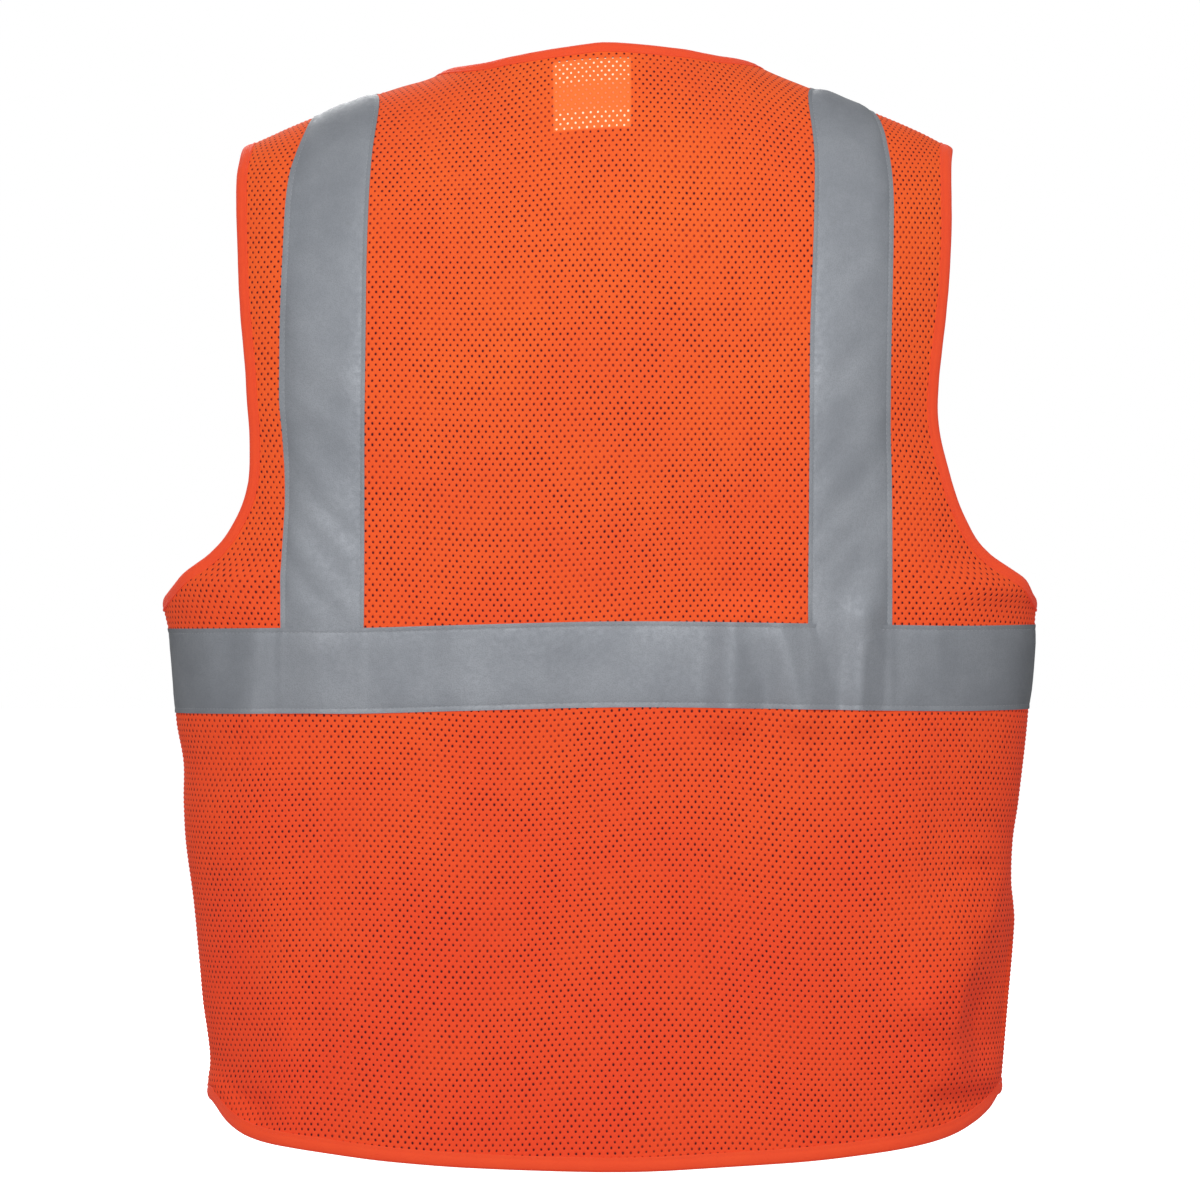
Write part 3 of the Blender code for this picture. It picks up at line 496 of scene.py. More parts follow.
class Net:
    """A Principled material and a short way to wire its nodes."""

    def __init__(self, name, roughness, **plain):
        self.material = bpy.data.materials.new(name)
        self.material.use_nodes = True
        self.tree = self.material.node_tree
        self.shader = self.tree.nodes["Principled BSDF"]
        self.shader.inputs["Roughness"].default_value = roughness
        for socket, value in plain.items():
            self.shader.inputs[socket.replace("_", " ")].default_value = value

    def node(self, kind, **settings):
        made = self.tree.nodes.new(kind)
        for key, value in settings.items():
            setattr(made, key, value)
        return made

    def put(self, value, socket):
        if isinstance(value, bpy.types.NodeSocket):
            self.tree.links.new(value, socket)
        else:
            socket.default_value = value

    def math(self, operation, *values):
        made = self.node("ShaderNodeMath", operation=operation)
        for value, socket in zip(values, made.inputs):
            self.put(value, socket)
        return made.outputs[0]

    def smooth(self, value, low, high, start=0.0, end=1.0):
        made = self.node("ShaderNodeMapRange", interpolation_type="SMOOTHSTEP")
        for part, socket in zip((value, low, high, start, end), made.inputs):
            self.put(part, socket)
        return made.outputs[0]

    def mix(self, share, first, second):
        made = self.node("ShaderNodeMix", data_type="RGBA")
        self.put(share, made.inputs[0])
        for colour, socket in ((first, made.inputs[6]), (second, made.inputs[7])):
            self.put((*colour, 1.0) if isinstance(colour, tuple) else colour, socket)
        return made.outputs[2]

    def place(self, along_cloth=True):
        """Coordinates in metres: on the flat cloth, or in the row frame."""
        if along_cloth:
            return self.node("ShaderNodeUVMap", uv_map="weave").outputs[0]
        return self.node("ShaderNodeTexCoord").outputs["Object"]

    def split(self, vector):
        made = self.node("ShaderNodeSeparateXYZ")
        self.put(vector, made.inputs[0])
        return made.outputs

    def noise(self, vector, size, detail=2.0, roughness=0.5):
        """Noise from 0 to 1 with features of about the given size in metres."""
        made = self.node("ShaderNodeTexNoise")
        self.put(vector, made.inputs["Vector"])
        made.inputs["Scale"].default_value = 1.0 / size
        made.inputs["Detail"].default_value = detail
        made.inputs["Roughness"].default_value = roughness
        return made.outputs[0]

    def bump(self, height, distance, strength=1.0):
        made = self.node("ShaderNodeBump")
        made.inputs["Strength"].default_value = strength
        made.inputs["Distance"].default_value = distance
        self.put(height, made.inputs["Height"])
        self.put(made.outputs[0], self.shader.inputs["Normal"])

    def colour(self, value):
        self.put(value, self.shader.inputs["Base Color"])

    def rough(self, value):
        self.put(value, self.shader.inputs["Roughness"])


# Painted light: a steady red-orange glow that stands in for the light fluorescent orange cloth gives
# back by itself; it keeps shaded cloth red.
FLUORESCENT_PAINTED_GLOW = (0.375, 0.017, 0.010, 1.0)
# Holes of the mesh: pitch along a row, pitch of the rows, half width and half height. Each row
# starts half a pitch beside the last.
HOLE_PITCH = 0.00445
ROW_PITCH = 0.00315
HOLE_REACH = (0.00060, 0.00075)
# Sides of the label: x low and high, heights, and where its low and high edges come on the flat
# back cloth.
LABEL_X = (-0.0175, 0.0280)
LABEL_HEIGHTS = (0.6180, 0.6610)
LABEL_AREA = (*LABEL_X, 0.6205, 0.6690)


def mesh_cloth(name, label=None):
    """Knitted mesh: staggered holes, painted dark as the shaded inside seen through them, with
    raised, ribbed ground between them.
    """
    net = Net(name, 0.86, Sheen_Weight=0.06, Sheen_Roughness=0.5, Specular_IOR_Level=0.2,
              Sheen_Tint=(1.0, 0.35, 0.12, 1.0))
    where = net.place()
    wobble = net.node("ShaderNodeTexNoise")
    net.put(where, wobble.inputs["Vector"])
    wobble.inputs["Scale"].default_value = 260.0
    shifted = net.node("ShaderNodeVectorMath", operation="MULTIPLY_ADD")
    net.put(wobble.outputs[1], shifted.inputs[0])
    shifted.inputs[1].default_value = (0.0007, 0.0006, 0.0)
    net.put(where, shifted.inputs[2])
    u, v, _ = net.split(shifted.outputs[0])
    rows = net.math("DIVIDE", v, ROW_PITCH)
    odd = net.math("FLOORED_MODULO", net.math("FLOOR", rows), 2.0)
    steps = net.math("ADD", net.math("DIVIDE", u, HOLE_PITCH), net.math("MULTIPLY", odd, 0.5))
    du = net.math("MULTIPLY", net.math("SUBTRACT", net.math("FRACT", steps), 0.5), HOLE_PITCH)
    dv = net.math("MULTIPLY", net.math("SUBTRACT", net.math("FRACT", rows), 0.5), ROW_PITCH)
    wide = net.math("POWER", net.math("DIVIDE", du, HOLE_REACH[0]), 2.0)
    tall = net.math("POWER", net.math("DIVIDE", dv, HOLE_REACH[1]), 2.0)
    reach = net.math("SQRT", net.math("ADD", wide, tall))
    size = net.smooth(net.noise(where, 0.012), 0.3, 0.7, 0.85, 1.12)
    reach = net.math("DIVIDE", reach, size)
    hole = net.smooth(reach, 0.72, 1.20, 1.0, 0.0)
    rim = net.smooth(reach, 1.0, 2.1, 0.0, 1.0)
    ribs = net.math("SINE", net.math("MULTIPLY", u, 2 * math.pi / (HOLE_PITCH / 4)))
    loops = net.math("SINE", net.math("MULTIPLY", v, 2 * math.pi / (ROW_PITCH / 4)))
    knit = net.math("MULTIPLY", ribs, loops)
    broad = net.noise(where, 0.085, 3.0)
    # Painted shade: the ground is more orange towards the top and redder towards the bottom, standing
    # in for light falling from above.
    up = net.smooth(net.split(where)[1], 0.0, 0.60)
    pale = net.mix(up, (0.46, 0.056, 0.0080), (0.475, 0.099, 0.0090))
    deep = net.mix(up, (0.44, 0.043, 0.0080), (0.455, 0.082, 0.0090))
    ground = net.mix(net.smooth(broad, 0.3, 0.7), deep, pale)
    ground = net.mix(net.smooth(knit, -1.0, 1.0, 0.22, 0.0), ground, (0.30, 0.032, 0.006))
    # Painted shade: the ground darkens towards each hole, and the holes are colour only, dark as the
    # shaded inside of the vest seen through them, paler in random patches.
    ground = net.mix(net.smooth(reach, 1.0, 1.7, 0.55, 0.0), ground, (0.34, 0.036, 0.006))
    faded = net.smooth(net.noise(where, 0.045, 3.0, 0.6), 0.46, 0.68, 0.0, 0.80)
    inside = net.mix(faded, (0.030, 0.003, 0.006), (0.26, 0.026, 0.010))
    if label:
        plain = net.place()
        lu, lv, _ = net.split(plain)
        over = None
        for value, low, high in ((lu, label[0], label[1]), (lv, label[2], label[3])):
            part = net.math("MULTIPLY", net.smooth(value, low - 0.0006, low + 0.0006),
                            net.smooth(value, high - 0.0006, high + 0.0006, 1.0, 0.0))
            over = part if over is None else net.math("MULTIPLY", over, part)
        middle = net.math("MULTIPLY", net.smooth(lv, label[2] + 0.011, label[2] + 0.015),
                          net.smooth(lv, label[3] - 0.020, label[3] - 0.014, 1.0, 0.0))
        inside = net.mix(over, inside, (0.93, 0.74, 0.52))
        ground = net.mix(net.math("MULTIPLY", over, 0.55), ground, (0.98, 0.19, 0.035))
        hidden = net.math("MULTIPLY", net.math("MULTIPLY", over, middle), 0.85)
        hole = net.math("MULTIPLY", hole, net.math("SUBTRACT", 1.0, hidden))
    net.colour(net.mix(hole, ground, inside))
    # Painted light: the cloth glows red-orange, the holes barely at all.
    painted_glow_colour = net.mix(net.smooth(reach, 0.72, 1.35, 1.0, 0.0), FLUORESCENT_PAINTED_GLOW[:3], (0.02, 0.0, 0.002))
    net.put(painted_glow_colour, net.shader.inputs["Emission Color"])
    net.shader.inputs["Emission Strength"].default_value = 1.0
    fuzz = net.noise(where, 0.0006, 2.0)
    height = net.math("ADD", net.math("MULTIPLY", rim, 1.0),
                      net.math("ADD", net.math("MULTIPLY", knit, 0.16),
                               net.math("MULTIPLY", fuzz, 0.22)))
    net.bump(height, 0.00042, 0.8)
    net.rough(net.smooth(fuzz, 0.3, 0.7, 0.80, 0.92))
    return net.material


def woven(name, low, high, pitch=0.0006, roughness=0.78, sheen=0.2, depth_m=0.00012, glow=0.0):
    """Plain weave or ribbed tape in one colour family; glow is the strength of a painted red-orange
    glow that stands in for fluorescence.
    """
    net = Net(name, roughness, Sheen_Weight=sheen, Sheen_Roughness=0.4, Specular_IOR_Level=0.3,
              Emission_Color=FLUORESCENT_PAINTED_GLOW, Emission_Strength=glow)
    where = net.place()
    u, v, _ = net.split(where)
    warp = net.math("SINE", net.math("MULTIPLY", u, 2 * math.pi / pitch))
    weft = net.math("SINE", net.math("MULTIPLY", v, 2 * math.pi / pitch))
    grain = net.math("MULTIPLY", warp, weft)
    fuzz = net.noise(where, 0.0012, 3.0)
    shade = net.mix(net.noise(where, 0.02, 3.0), low, high)
    darker = tuple(part * 0.72 for part in low)
    net.colour(net.mix(net.smooth(grain, -1.0, 1.0, 0.30, 0.0), shade, darker))
    net.bump(net.math("ADD", grain, net.math("MULTIPLY", fuzz, 0.8)), depth_m, 0.7)
    net.rough(net.smooth(fuzz, 0.3, 0.7, roughness - 0.06, roughness + 0.06))
    return net.material


def reflective():
    """Silver glass-bead tape: satin grey with a fine grain, scuffs and faint creases."""
    net = Net("silver_tape", 0.6, Metallic=0.25)
    where = net.place()
    beads = net.node("ShaderNodeTexVoronoi", feature="F1")
    net.put(where, beads.inputs["Vector"])
    beads.inputs["Scale"].default_value = 1.0 / 0.0007
    speck = net.smooth(beads.outputs[0], 0.1, 0.7)
    broad = net.noise(where, 0.05, 4.0, 0.6)
    fine = net.noise(where, 0.0035, 3.0)
    shade = net.mix(net.smooth(broad, 0.3, 0.7), (0.205, 0.219, 0.243), (0.250, 0.265, 0.290))
    shade = net.mix(net.smooth(speck, 0.2, 1.0, 0.35, 0.0), shade, (0.160, 0.171, 0.188))
    scuffs = net.smooth(net.noise(where, 0.018, 6.0, 0.75), 0.62, 0.74, 0.0, 0.35)
    net.colour(net.mix(scuffs, shade, (0.172, 0.177, 0.186)))
    net.rough(net.smooth(fine, 0.3, 0.7, 0.56, 0.68))
    height = net.math("ADD", net.math("MULTIPLY", speck, 0.3),
                      net.math("MULTIPLY", net.noise(where, 0.009, 4.0), 1.6))
    net.bump(height, 0.00022, 0.6)
    return net.material


def moulded(name, low, high, roughness, metallic=0.0, grain=0.0004):
    """Moulded plastic or die-cast metal with a little flow texture and wear."""
    net = Net(name, roughness, Metallic=metallic)
    where = net.place(False)
    broad = net.noise(where, 0.004, 4.0)
    fine = net.noise(where, grain, 3.0)
    net.colour(net.mix(broad, low, high))
    net.rough(net.smooth(fine, 0.3, 0.7, roughness - 0.08, roughness + 0.08))
    net.bump(fine, 0.00005, 0.5)
    return net.material


# The orange thread, binding and zip cloth get a painted glow in place of fluorescence.
orange_thread = woven("orange_thread", (0.44, 0.042, 0.006), (0.52, 0.068, 0.010), 0.0004,
                      glow=0.9)
grey_thread = woven("grey_thread", (0.26, 0.27, 0.29), (0.36, 0.37, 0.39), 0.0004)
orange_mesh = mesh_cloth("orange_mesh")
back_mesh = mesh_cloth("back_mesh", LABEL_AREA)
orange_binding = woven("orange_binding", (0.46, 0.047, 0.006), (0.51, 0.070, 0.008), 0.0007, 0.7,
                       0.05, glow=1.0)
silver_tape = reflective()
zip_cloth = woven("zip_cloth", (0.44, 0.047, 0.008), (0.52, 0.070, 0.012), 0.0009, 0.8, 0.1,
                  glow=0.8)
zip_plastic = moulded("zip_plastic", (0.80, 0.070, 0.016), (0.88, 0.085, 0.020), 0.38)
zip_metal = moulded("zip_metal", (0.50, 0.51, 0.53), (0.60, 0.61, 0.63), 0.36, 0.9)
label_cloth = woven("label_cloth", (0.82, 0.82, 0.80), (0.90, 0.90, 0.88), 0.0005, 0.6)

# Sewn parts and small solids.

# Places across a tape, and the two of them where it is stitched.
TAPE_SECTION = np.array([-25.4, -25.0, -24.0, -23.1, -22.6, -22.1, -21.0, -18.5, -14.0, -9.0,
                         -4.0, 0.0, 4.0, 9.0, 14.0, 18.5, 21.0, 22.1, 22.6, 23.1, 24.0, 25.0,
                         25.4]) / 1000
STITCH_LINE = 0.0226
STITCH_COLUMNS = np.flatnonzero(np.abs(np.abs(TAPE_SECTION) - STITCH_LINE) < 1e-6)
TAPE_THICKNESS = 0.0005
TAPE_LIFT = 0.0011


def tape_profile(off):
    """Lift across a sewn-down tape: pressed edges, dimpled stitch rows, slack between them."""
    inside = smooth(STITCH_LINE - np.abs(off), 0.0, 0.010)
    dimple = np.exp(-(((np.abs(off) - STITCH_LINE) / 0.0006) ** 2))
    return TAPE_LIFT + 0.0005 * inside - 0.00022 * dimple


def band_height(x, off):
    return curve(BAND_LINE, x) + off


def overlap(x, side):
    """1 where a shoulder tape lies under the band."""
    total = np.zeros(np.shape(x))
    for word, sign in SIGNS.items():
        middle = sign * TAPE_LINES[word][0][1]
        total = np.maximum(total, 1.0 - smooth(np.abs(x - middle), 0.023, 0.028))
    return total


def band(name, side, shares, inner, outer, mirror=1.0):
    """Level reflective band along its line, from one edge to another."""
    share = np.asarray(shares)[None, :]
    off = TAPE_SECTION[:, None]
    height = np.broadcast_to(BAND_HEIGHT + off, (len(TAPE_SECTION), share.shape[1]))
    x = np.zeros(height.shape)
    for _ in range(6):
        low, high = turn_at(inner(height), height), turn_at(outer(height), height)
        angle = low + np.abs(share) * (high - low)
        x = half_width(height) * np.sin(angle) ** (2 / PLAN_POWER)
        x = x * np.where(share < 0, -mirror, mirror)
        height = band_height(x, off)
    at_seam = 1.0 - smooth(np.abs(x) / half_width(height), 0.93, 1.0)
    inside = smooth(STITCH_LINE - np.abs(off), -0.002, 0.006)
    lift = tape_profile(off) + 0.0006 * overlap(x, side)
    lift = lift + 0.0006 * at_seam * waves(x, height, 0.022, 0.07, 12.0 + side) * inside
    lower, upper = skin(side, x, height, lift), skin(side, x, height, lift + TAPE_THICKNESS)
    wide = weave(side, x, height)[..., 0]
    coords = np.stack([wide, np.broadcast_to(off, wide.shape)], -1)
    made = cloth(name, lower, upper, coords, silver_tape)
    rows = [(upper[k], outward(side, x[k], height[k])) for k in STITCH_COLUMNS]
    return made, stitches(f"{name}_stitching", rows, grey_thread)


def band_start(height):
    return np.full(np.shape(height), ZIP_EDGE + 0.0005)


def pocket_swell(share_u, share_v):
    """How far a pocket stands out, from 0 at its sewn edges to 1 in the middle."""
    across_it = np.sin(math.pi * share_u) ** 0.5
    return across_it * np.sin(math.pi / 2 * np.minimum(share_v * 1.8, 1.0)) ** 0.6


def near_side(height, ratio):
    """Distance out of a place at a share of the turn from the centre line to the side seam."""
    return half_width(height) * math.sin(math.pi / 2 * ratio) ** (2 / PLAN_POWER)


# Places across a side or shoulder seam: (side, share of the way to the seam).
SEAM_TAPE = [(-1, 0.970), (-1, 0.985), (-1, 1.0), (1, 1.0), (1, 0.985), (1, 0.970)]


def seam_tape(name, places):
    """Strip of tape under the cloth through rows of (side, x, height) that cross the seam."""
    lower = np.stack([skin(side, x, h, -0.0007) for side, x, h in places], 1)
    upper = np.stack([skin(side, x, h, -0.0001) for side, x, h in places], 1)
    coords = np.stack([weave(side, x, h) for side, x, h in places], 1)
    return cloth(name, lower, upper, coords, orange_binding)


class Shape:
    """A mesh made of several closed bodies."""

    def __init__(self):
        self.points, self.faces = [], []

    def sweep(self, path, plane_normal, section, closed=False):
        """Section of (in the plane, out of it) carried along a path that lies in a plane."""
        path, up = np.array(path, float), np.array(plane_normal, float)
        run = np.roll(path, -1, 0) - np.roll(path, 1, 0) if closed else np.gradient(path, axis=0)
        run /= np.linalg.norm(run, axis=-1, keepdims=True)
        side = np.cross(run, up)
        first, count = len(self.points), len(section)
        for point, across_it in zip(path, side):
            self.points += [point + across_it * a + up * b for a, b in section]
        rings = len(path)
        for i in range(rings if closed else rings - 1):
            n = (i + 1) % rings
            for k in range(count):
                m = (k + 1) % count
                self.faces.append((first + i * count + k, first + i * count + m,
                                   first + n * count + m, first + n * count + k))
        if not closed:
            self.faces.append(tuple(range(first + count - 1, first - 1, -1)))
            last = first + (rings - 1) * count
            self.faces.append(tuple(range(last, last + count)))
        return self

    def stack(self, rings):
        """Closed body through rings of points."""
        first, count = len(self.points), len(rings[0])
        for ring in rings:
            self.points += [np.array(point, float) for point in ring]
        for i in range(len(rings) - 1):
            for k in range(count):
                m = (k + 1) % count
                a = first + i * count
                self.faces.append((a + k, a + m, a + count + m, a + count + k))
        last = first + (len(rings) - 1) * count
        self.faces.append(tuple(range(first + count - 1, first - 1, -1)))
        self.faces.append(tuple(range(last, last + count)))
        return self

    def slab(self, outline, y_low, y_high, edge=0.00025):
        """Plate with the given (x, z) outline and rounded edges, between two values of y."""
        flat = np.array(outline, float)
        middle = (flat.max(0) + flat.min(0)) / 2
        reach = (flat.max(0) - flat.min(0)) / 2
        rings = []
        for y, inset in ((y_low, edge), (y_low + edge * 0.3, edge * 0.3), (y_low + edge, 0.0),
                         (y_high - edge, 0.0), (y_high - edge * 0.3, edge * 0.3), (y_high, edge)):
            shape = middle + (flat - middle) * (1.0 - inset / reach)
            rings.append([(x, y, z) for x, z in shape])
        return self.stack(rings)

    def plate(self, x_range, heights, radius, reach, edge):
        """Rounded plate through the zip's middle plane, with heights above the hem."""
        outline = round_box(x_range, (heights[0] + DROP, heights[1] + DROP), radius)
        return self.slab(outline, ZIP_Y - reach, ZIP_Y + reach, edge)

    def made(self, name, look, angle=40):
        return add_mesh(name, self.points, self.faces, look, None, angle)


def round_box(x_range, z_range, radius, steps=5):
    """Outline (x, z) of a rectangle with rounded corners."""
    (x0, x1), (z0, z1) = sorted(x_range), sorted(z_range)
    outline = []
    for cx, cz, start in ((x1 - radius, z1 - radius, 0), (x0 + radius, z1 - radius, 1),
                          (x0 + radius, z0 + radius, 2), (x1 - radius, z0 + radius, 3)):
        for k in range(steps):
            turn = math.pi / 2 * (start + k / (steps - 1))
            outline.append((cx + radius * math.cos(turn), cz + radius * math.sin(turn)))
    return outline


def ring_section(radius, count=10):
    return [(radius * math.cos(2 * math.pi * k / count), radius * math.sin(2 * math.pi * k / count))
            for k in range(count)]


def softbox(name, place, aim, size, power):
    lamp = bpy.data.lights.new(name, "AREA")
    lamp.shape = "SQUARE"
    lamp.size = size
    lamp.energy = power
    made = bpy.data.objects.new(name, lamp)
    bpy.context.collection.objects.link(made)
    made.location = place
    made.rotation_mode = "QUATERNION"
    made.rotation_quaternion = (Vector(aim) - Vector(place)).to_track_quat("-Z", "Y")


# Panels.
LOW_LEVELS = np.linspace(0.0, 0.81, 68)
ARM_LEVELS = np.linspace(0.81, 0.90, 36)[1:]
MID_LEVELS = np.linspace(0.90, 1.0, 10)[1:]
TOP_LEVELS = 1.0 + np.linspace(0.0, 1.0, 64)[1:]
LEVELS = np.concatenate([LOW_LEVELS, [UNDERARM_HEIGHT / ARCH_HEIGHT], ARM_LEVELS, MID_LEVELS,
                         TOP_LEVELS])
LEVELS = np.unique(LEVELS)
BACK_SHARES = np.linspace(-1.0, 1.0, 145)
FRONT_SHARES = np.linspace(0.0, 1.0, 62)

garment = []
fronts = {"left": [], "right": []}
blended = {"left": [], "right": []}

back = panel("back_cloth", back_mesh, 1, LEVELS, BACK_SHARES, centre, outer_edge)
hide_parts("back_panel")
garment.append(back)
for word, sign in SIGNS.items():
    front = panel(f"{word}_front_cloth", orange_mesh, -1, LEVELS, FRONT_SHARES, inner_edge,
                  outer_edge, sign)
    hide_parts(f"{word}_front_side", f"{word}_front_flap")
    blended[word].append(front)

# Bindings.
arm_levels = LEVELS[LEVELS >= UNDERARM_HEIGHT / ARCH_HEIGHT - 1e-6]
for word, sign in SIGNS.items():
    down = edge_line(1, arm_levels[::-1], 1.0, centre, outer_edge, sign)
    up = edge_line(-1, arm_levels, 1.0, centre, outer_edge, sign)
    line = joined((down[0][::-1], down[1][::-1]), (up[0][::-1], up[1][::-1]))
    arm_middle = (0.235 * sign, 0.0, 0.46 - SHOULDER_HEIGHT)
    made, threads = binding(f"{word}_arm_edge", orange_binding, line, arm_middle, BINDING_WIDTH)
    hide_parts(f"{word}_armhole_binding")
    garment += [made, threads]
neck_middle = (0.0, 0.0, 0.675 - SHOULDER_HEIGHT)
NECK_SPLIT = 1.66
v_levels = np.unique(np.concatenate([LEVELS[LEVELS >= 1.0], [NECK_SPLIT]]))
neck_shares = BACK_SHARES[np.abs(across(1, BACK_SHARES, 2.0, centre, outer_edge)[0]) < NECK_CORNER]
lines = {}
for word, sign in SIGNS.items():
    lines[word] = edge_line(-1, v_levels[v_levels >= NECK_SPLIT], 0.0, inner_edge, outer_edge, sign)
    line = edge_line(-1, v_levels[v_levels <= NECK_SPLIT], 0.0, inner_edge, outer_edge, sign)
    made, threads = binding(f"{word}_neck_edge", orange_binding, line, neck_middle,
                            NECK_BINDING_WIDTH)
    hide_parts(f"{word}_neck_binding_end")
    blended[word] += [made, threads]
    line = row_line(-1, 0.0, FRONT_SHARES, inner_edge, outer_edge, sign)
    made, threads = binding(f"{word}_front_hem", orange_binding, line, DOWN, BINDING_WIDTH)
    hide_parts(f"{word}_front_hem_binding")
    blended[word] += [made, threads]
behind = row_line(1, 2.0, neck_shares[::-1], centre, outer_edge)
line = joined(lines["left"], behind, (lines["right"][0][::-1], lines["right"][1][::-1]))
made, threads = binding("neck_edge", orange_binding, line, neck_middle, NECK_BINDING_WIDTH)
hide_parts("neck_binding")
garment += [made, threads]
line = row_line(1, 0.0, BACK_SHARES, centre, outer_edge)
made, threads = binding("back_hem", orange_binding, line, DOWN, BINDING_WIDTH)
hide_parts("hem_binding")
garment += [made, threads]

# Reflective tapes.


made, threads = band("back_band_tape", 1, np.linspace(-1, 1, 341), centre, half_width)
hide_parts("back_band")
garment += [made, threads]


for word, sign in SIGNS.items():
    made, threads = band(f"{word}_front_band", -1, np.linspace(0, 1, 121), band_start, half_width,
                         sign)
    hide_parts(f"{word}_front_band_side", f"{word}_front_band_flap")
    blended[word] += [made, threads]

for word, sign in SIGNS.items():
    low = np.linspace(0.30, ARCH_HEIGHT, 34)[:-1] / ARCH_HEIGHT
    high = 1.0 + np.linspace(0.0, 1.0, 90)
    levels = np.concatenate([low, high])
    grids = {"lower": [], "upper": [], "coords": [], "rows": []}
    for side, order in ((1, levels), (-1, levels[-2::-1])):
        level = order[:, None]
        middle = curve(TAPE_LINES[word], level_height(side, level, np.full(level.shape, 0.155)))
        height = level_height(side, level, middle)
        slope = (depth(side, middle + 0.001, height) - depth(side, middle - 0.001, height)) / 0.002
        narrow = 1.0 / np.sqrt(1.0 + slope**2)
        narrow = narrow + (1.0 - narrow) * np.maximum(level - 1.0, 0.0) ** 4 * 0.7
        off = TAPE_SECTION[None, :]
        x = middle + off * narrow
        height = level_height(side, level, x)
        inside = smooth(STITCH_LINE - np.abs(off), -0.002, 0.006)
        lift = tape_profile(off)
        lift = lift + 0.0011 * inside * waves(x + 0.6 * height, height, 0.050, 0.085, 21.0 * sign)
        facets = np.abs(waves(x - 0.8 * height, height, 0.026, 0.090, 33.0 * sign))
        lift = lift + 0.0016 * inside * facets
        grids["lower"].append(skin(side, sign * x, height, lift))
        grids["upper"].append(skin(side, sign * x, height, lift + TAPE_THICKNESS))
        grids["coords"].append(np.stack(np.broadcast_arrays(off, weave(side, x, height)[..., 1]
                                                            * side), -1))
        grids["rows"].append(outward(side, sign * x, height))
    lower, upper, coords, normals = (np.concatenate(grids[key]) for key in
                                     ("lower", "upper", "coords", "rows"))
    made = cloth(f"{word}_shoulder_strip", lower, upper, coords, silver_tape)
    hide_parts(f"{word}_shoulder_tape")
    rows = [(upper[:, k], normals[:, k]) for k in STITCH_COLUMNS]
    threads = stitches(f"{word}_shoulder_strip_stitching", rows, grey_thread)
    garment += [made, threads]

# Label, sewn behind the back of the neck.
gx, gh = np.broadcast_arrays(np.linspace(*LABEL_X, 16)[None, :],
                             np.linspace(*LABEL_HEIGHTS, 18)[:, None])
droop = -0.0016 - 0.0020 * smooth(0.655 - gh, 0.0, 0.030) + 0.0004 * waves(gx, gh, 0.02, 0.02, 1.0)
label = cloth("care_label", skin(1, gx, gh, droop - 0.0003), skin(1, gx, gh, droop),
              weave(1, gx, gh), label_cloth)
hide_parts("neck_label")
garment.append(label)

# Pockets.
POCKET_TOP = POCKET_HEIGHTS[1] + 0.010    # the cloth runs on under the top binding
for word, sign in SIGNS.items():
    share_u = np.linspace(0.0, 1.0, 41)[None, :]
    share_v = np.linspace(0.0, 1.0, 60)[:, None]
    x = POCKET_X[0] + (POCKET_X[1] - POCKET_X[0]) * share_u
    height = POCKET_HEIGHTS[0] + (POCKET_TOP - POCKET_HEIGHTS[0]) * share_v
    x, height = np.broadcast_arrays(x, height)
    swell = pocket_swell(share_u, share_v)
    lift = CLOTH + SEAM_GAP + 0.0003 + POCKET_BULGE * swell
    lift = lift + 0.0007 * swell * waves(x, height, 0.03, 0.05, 40 * sign)
    lower = skin(-1, sign * x, height, lift)
    upper = skin(-1, sign * x, height, lift + CLOTH)
    made = cloth(f"{word}_pocket_cloth", lower, upper, weave(-1, sign * x, height), orange_mesh)
    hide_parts(f"{word}_pocket")
    fronts[word].append(made)
    upper_rim = upper[-1], outward(-1, sign * x[-1], height[-1])
    made, threads = binding(f"{word}_pocket_edge", orange_binding, (
        upper_rim[0] - upper_rim[1] * CLOTH - np.array([0, 0, 0.009]), upper_rim[1]),
        (0.0, 0.0, 10.0), 0.0095)
    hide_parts(f"{word}_pocket_binding")
    fronts[word] += [made, threads]

# Topstitching on the fronts, round the pockets and along the seams.
for word, sign in SIGNS.items():
    h = np.linspace(0.014, 0.395, 120)
    x = np.full(120, sign * 0.0192)
    line = skin(-1, x, h, 0.0010), outward(-1, x, h)
    blended[word].append(stitches(f"{word}_zip_edge_stitching", [line], orange_thread))
    low, high = POCKET_HEIGHTS
    near, far = POCKET_X
    x = np.concatenate([np.full(60, far - 0.0015), np.linspace(far - 0.0015, near + 0.0015, 40),
                        np.full(60, near + 0.0015)])
    h = np.concatenate([np.linspace(high, low + 0.0015, 60), np.full(40, low + 0.0015),
                        np.linspace(low + 0.0015, high, 60)])
    share_u = (x - near) / (far - near)
    share_v = (h - low) / (POCKET_TOP - low)
    swell = pocket_swell(share_u, share_v)
    line = joined((skin(-1, sign * x, h, 0.0027 + POCKET_BULGE * swell), outward(-1, sign * x, h)))
    fronts[word].append(stitches(f"{word}_pocket_stitching", [line], orange_thread))
    rows = []
    for side in (1, -1):
        h = np.linspace(0.050, UNDERARM_HEIGHT - 0.003, 90)
        x = sign * near_side(h, 0.955)
        rows.append((skin(side, x, h, 0.0010), outward(side, x, h)))
        x, h = across(side, np.linspace(0.985, 0.0 if side < 0 else 0.44, 60), 1.955,
                      inner_edge if side < 0 else centre, outer_edge)
        rows.append((skin(side, sign * x, h, 0.0010), outward(side, sign * x, h)))
    garment.append(stitches(f"{word}_seam_stitching", rows, orange_thread))

# Seam tapes, sewn inside over the side and shoulder seams.


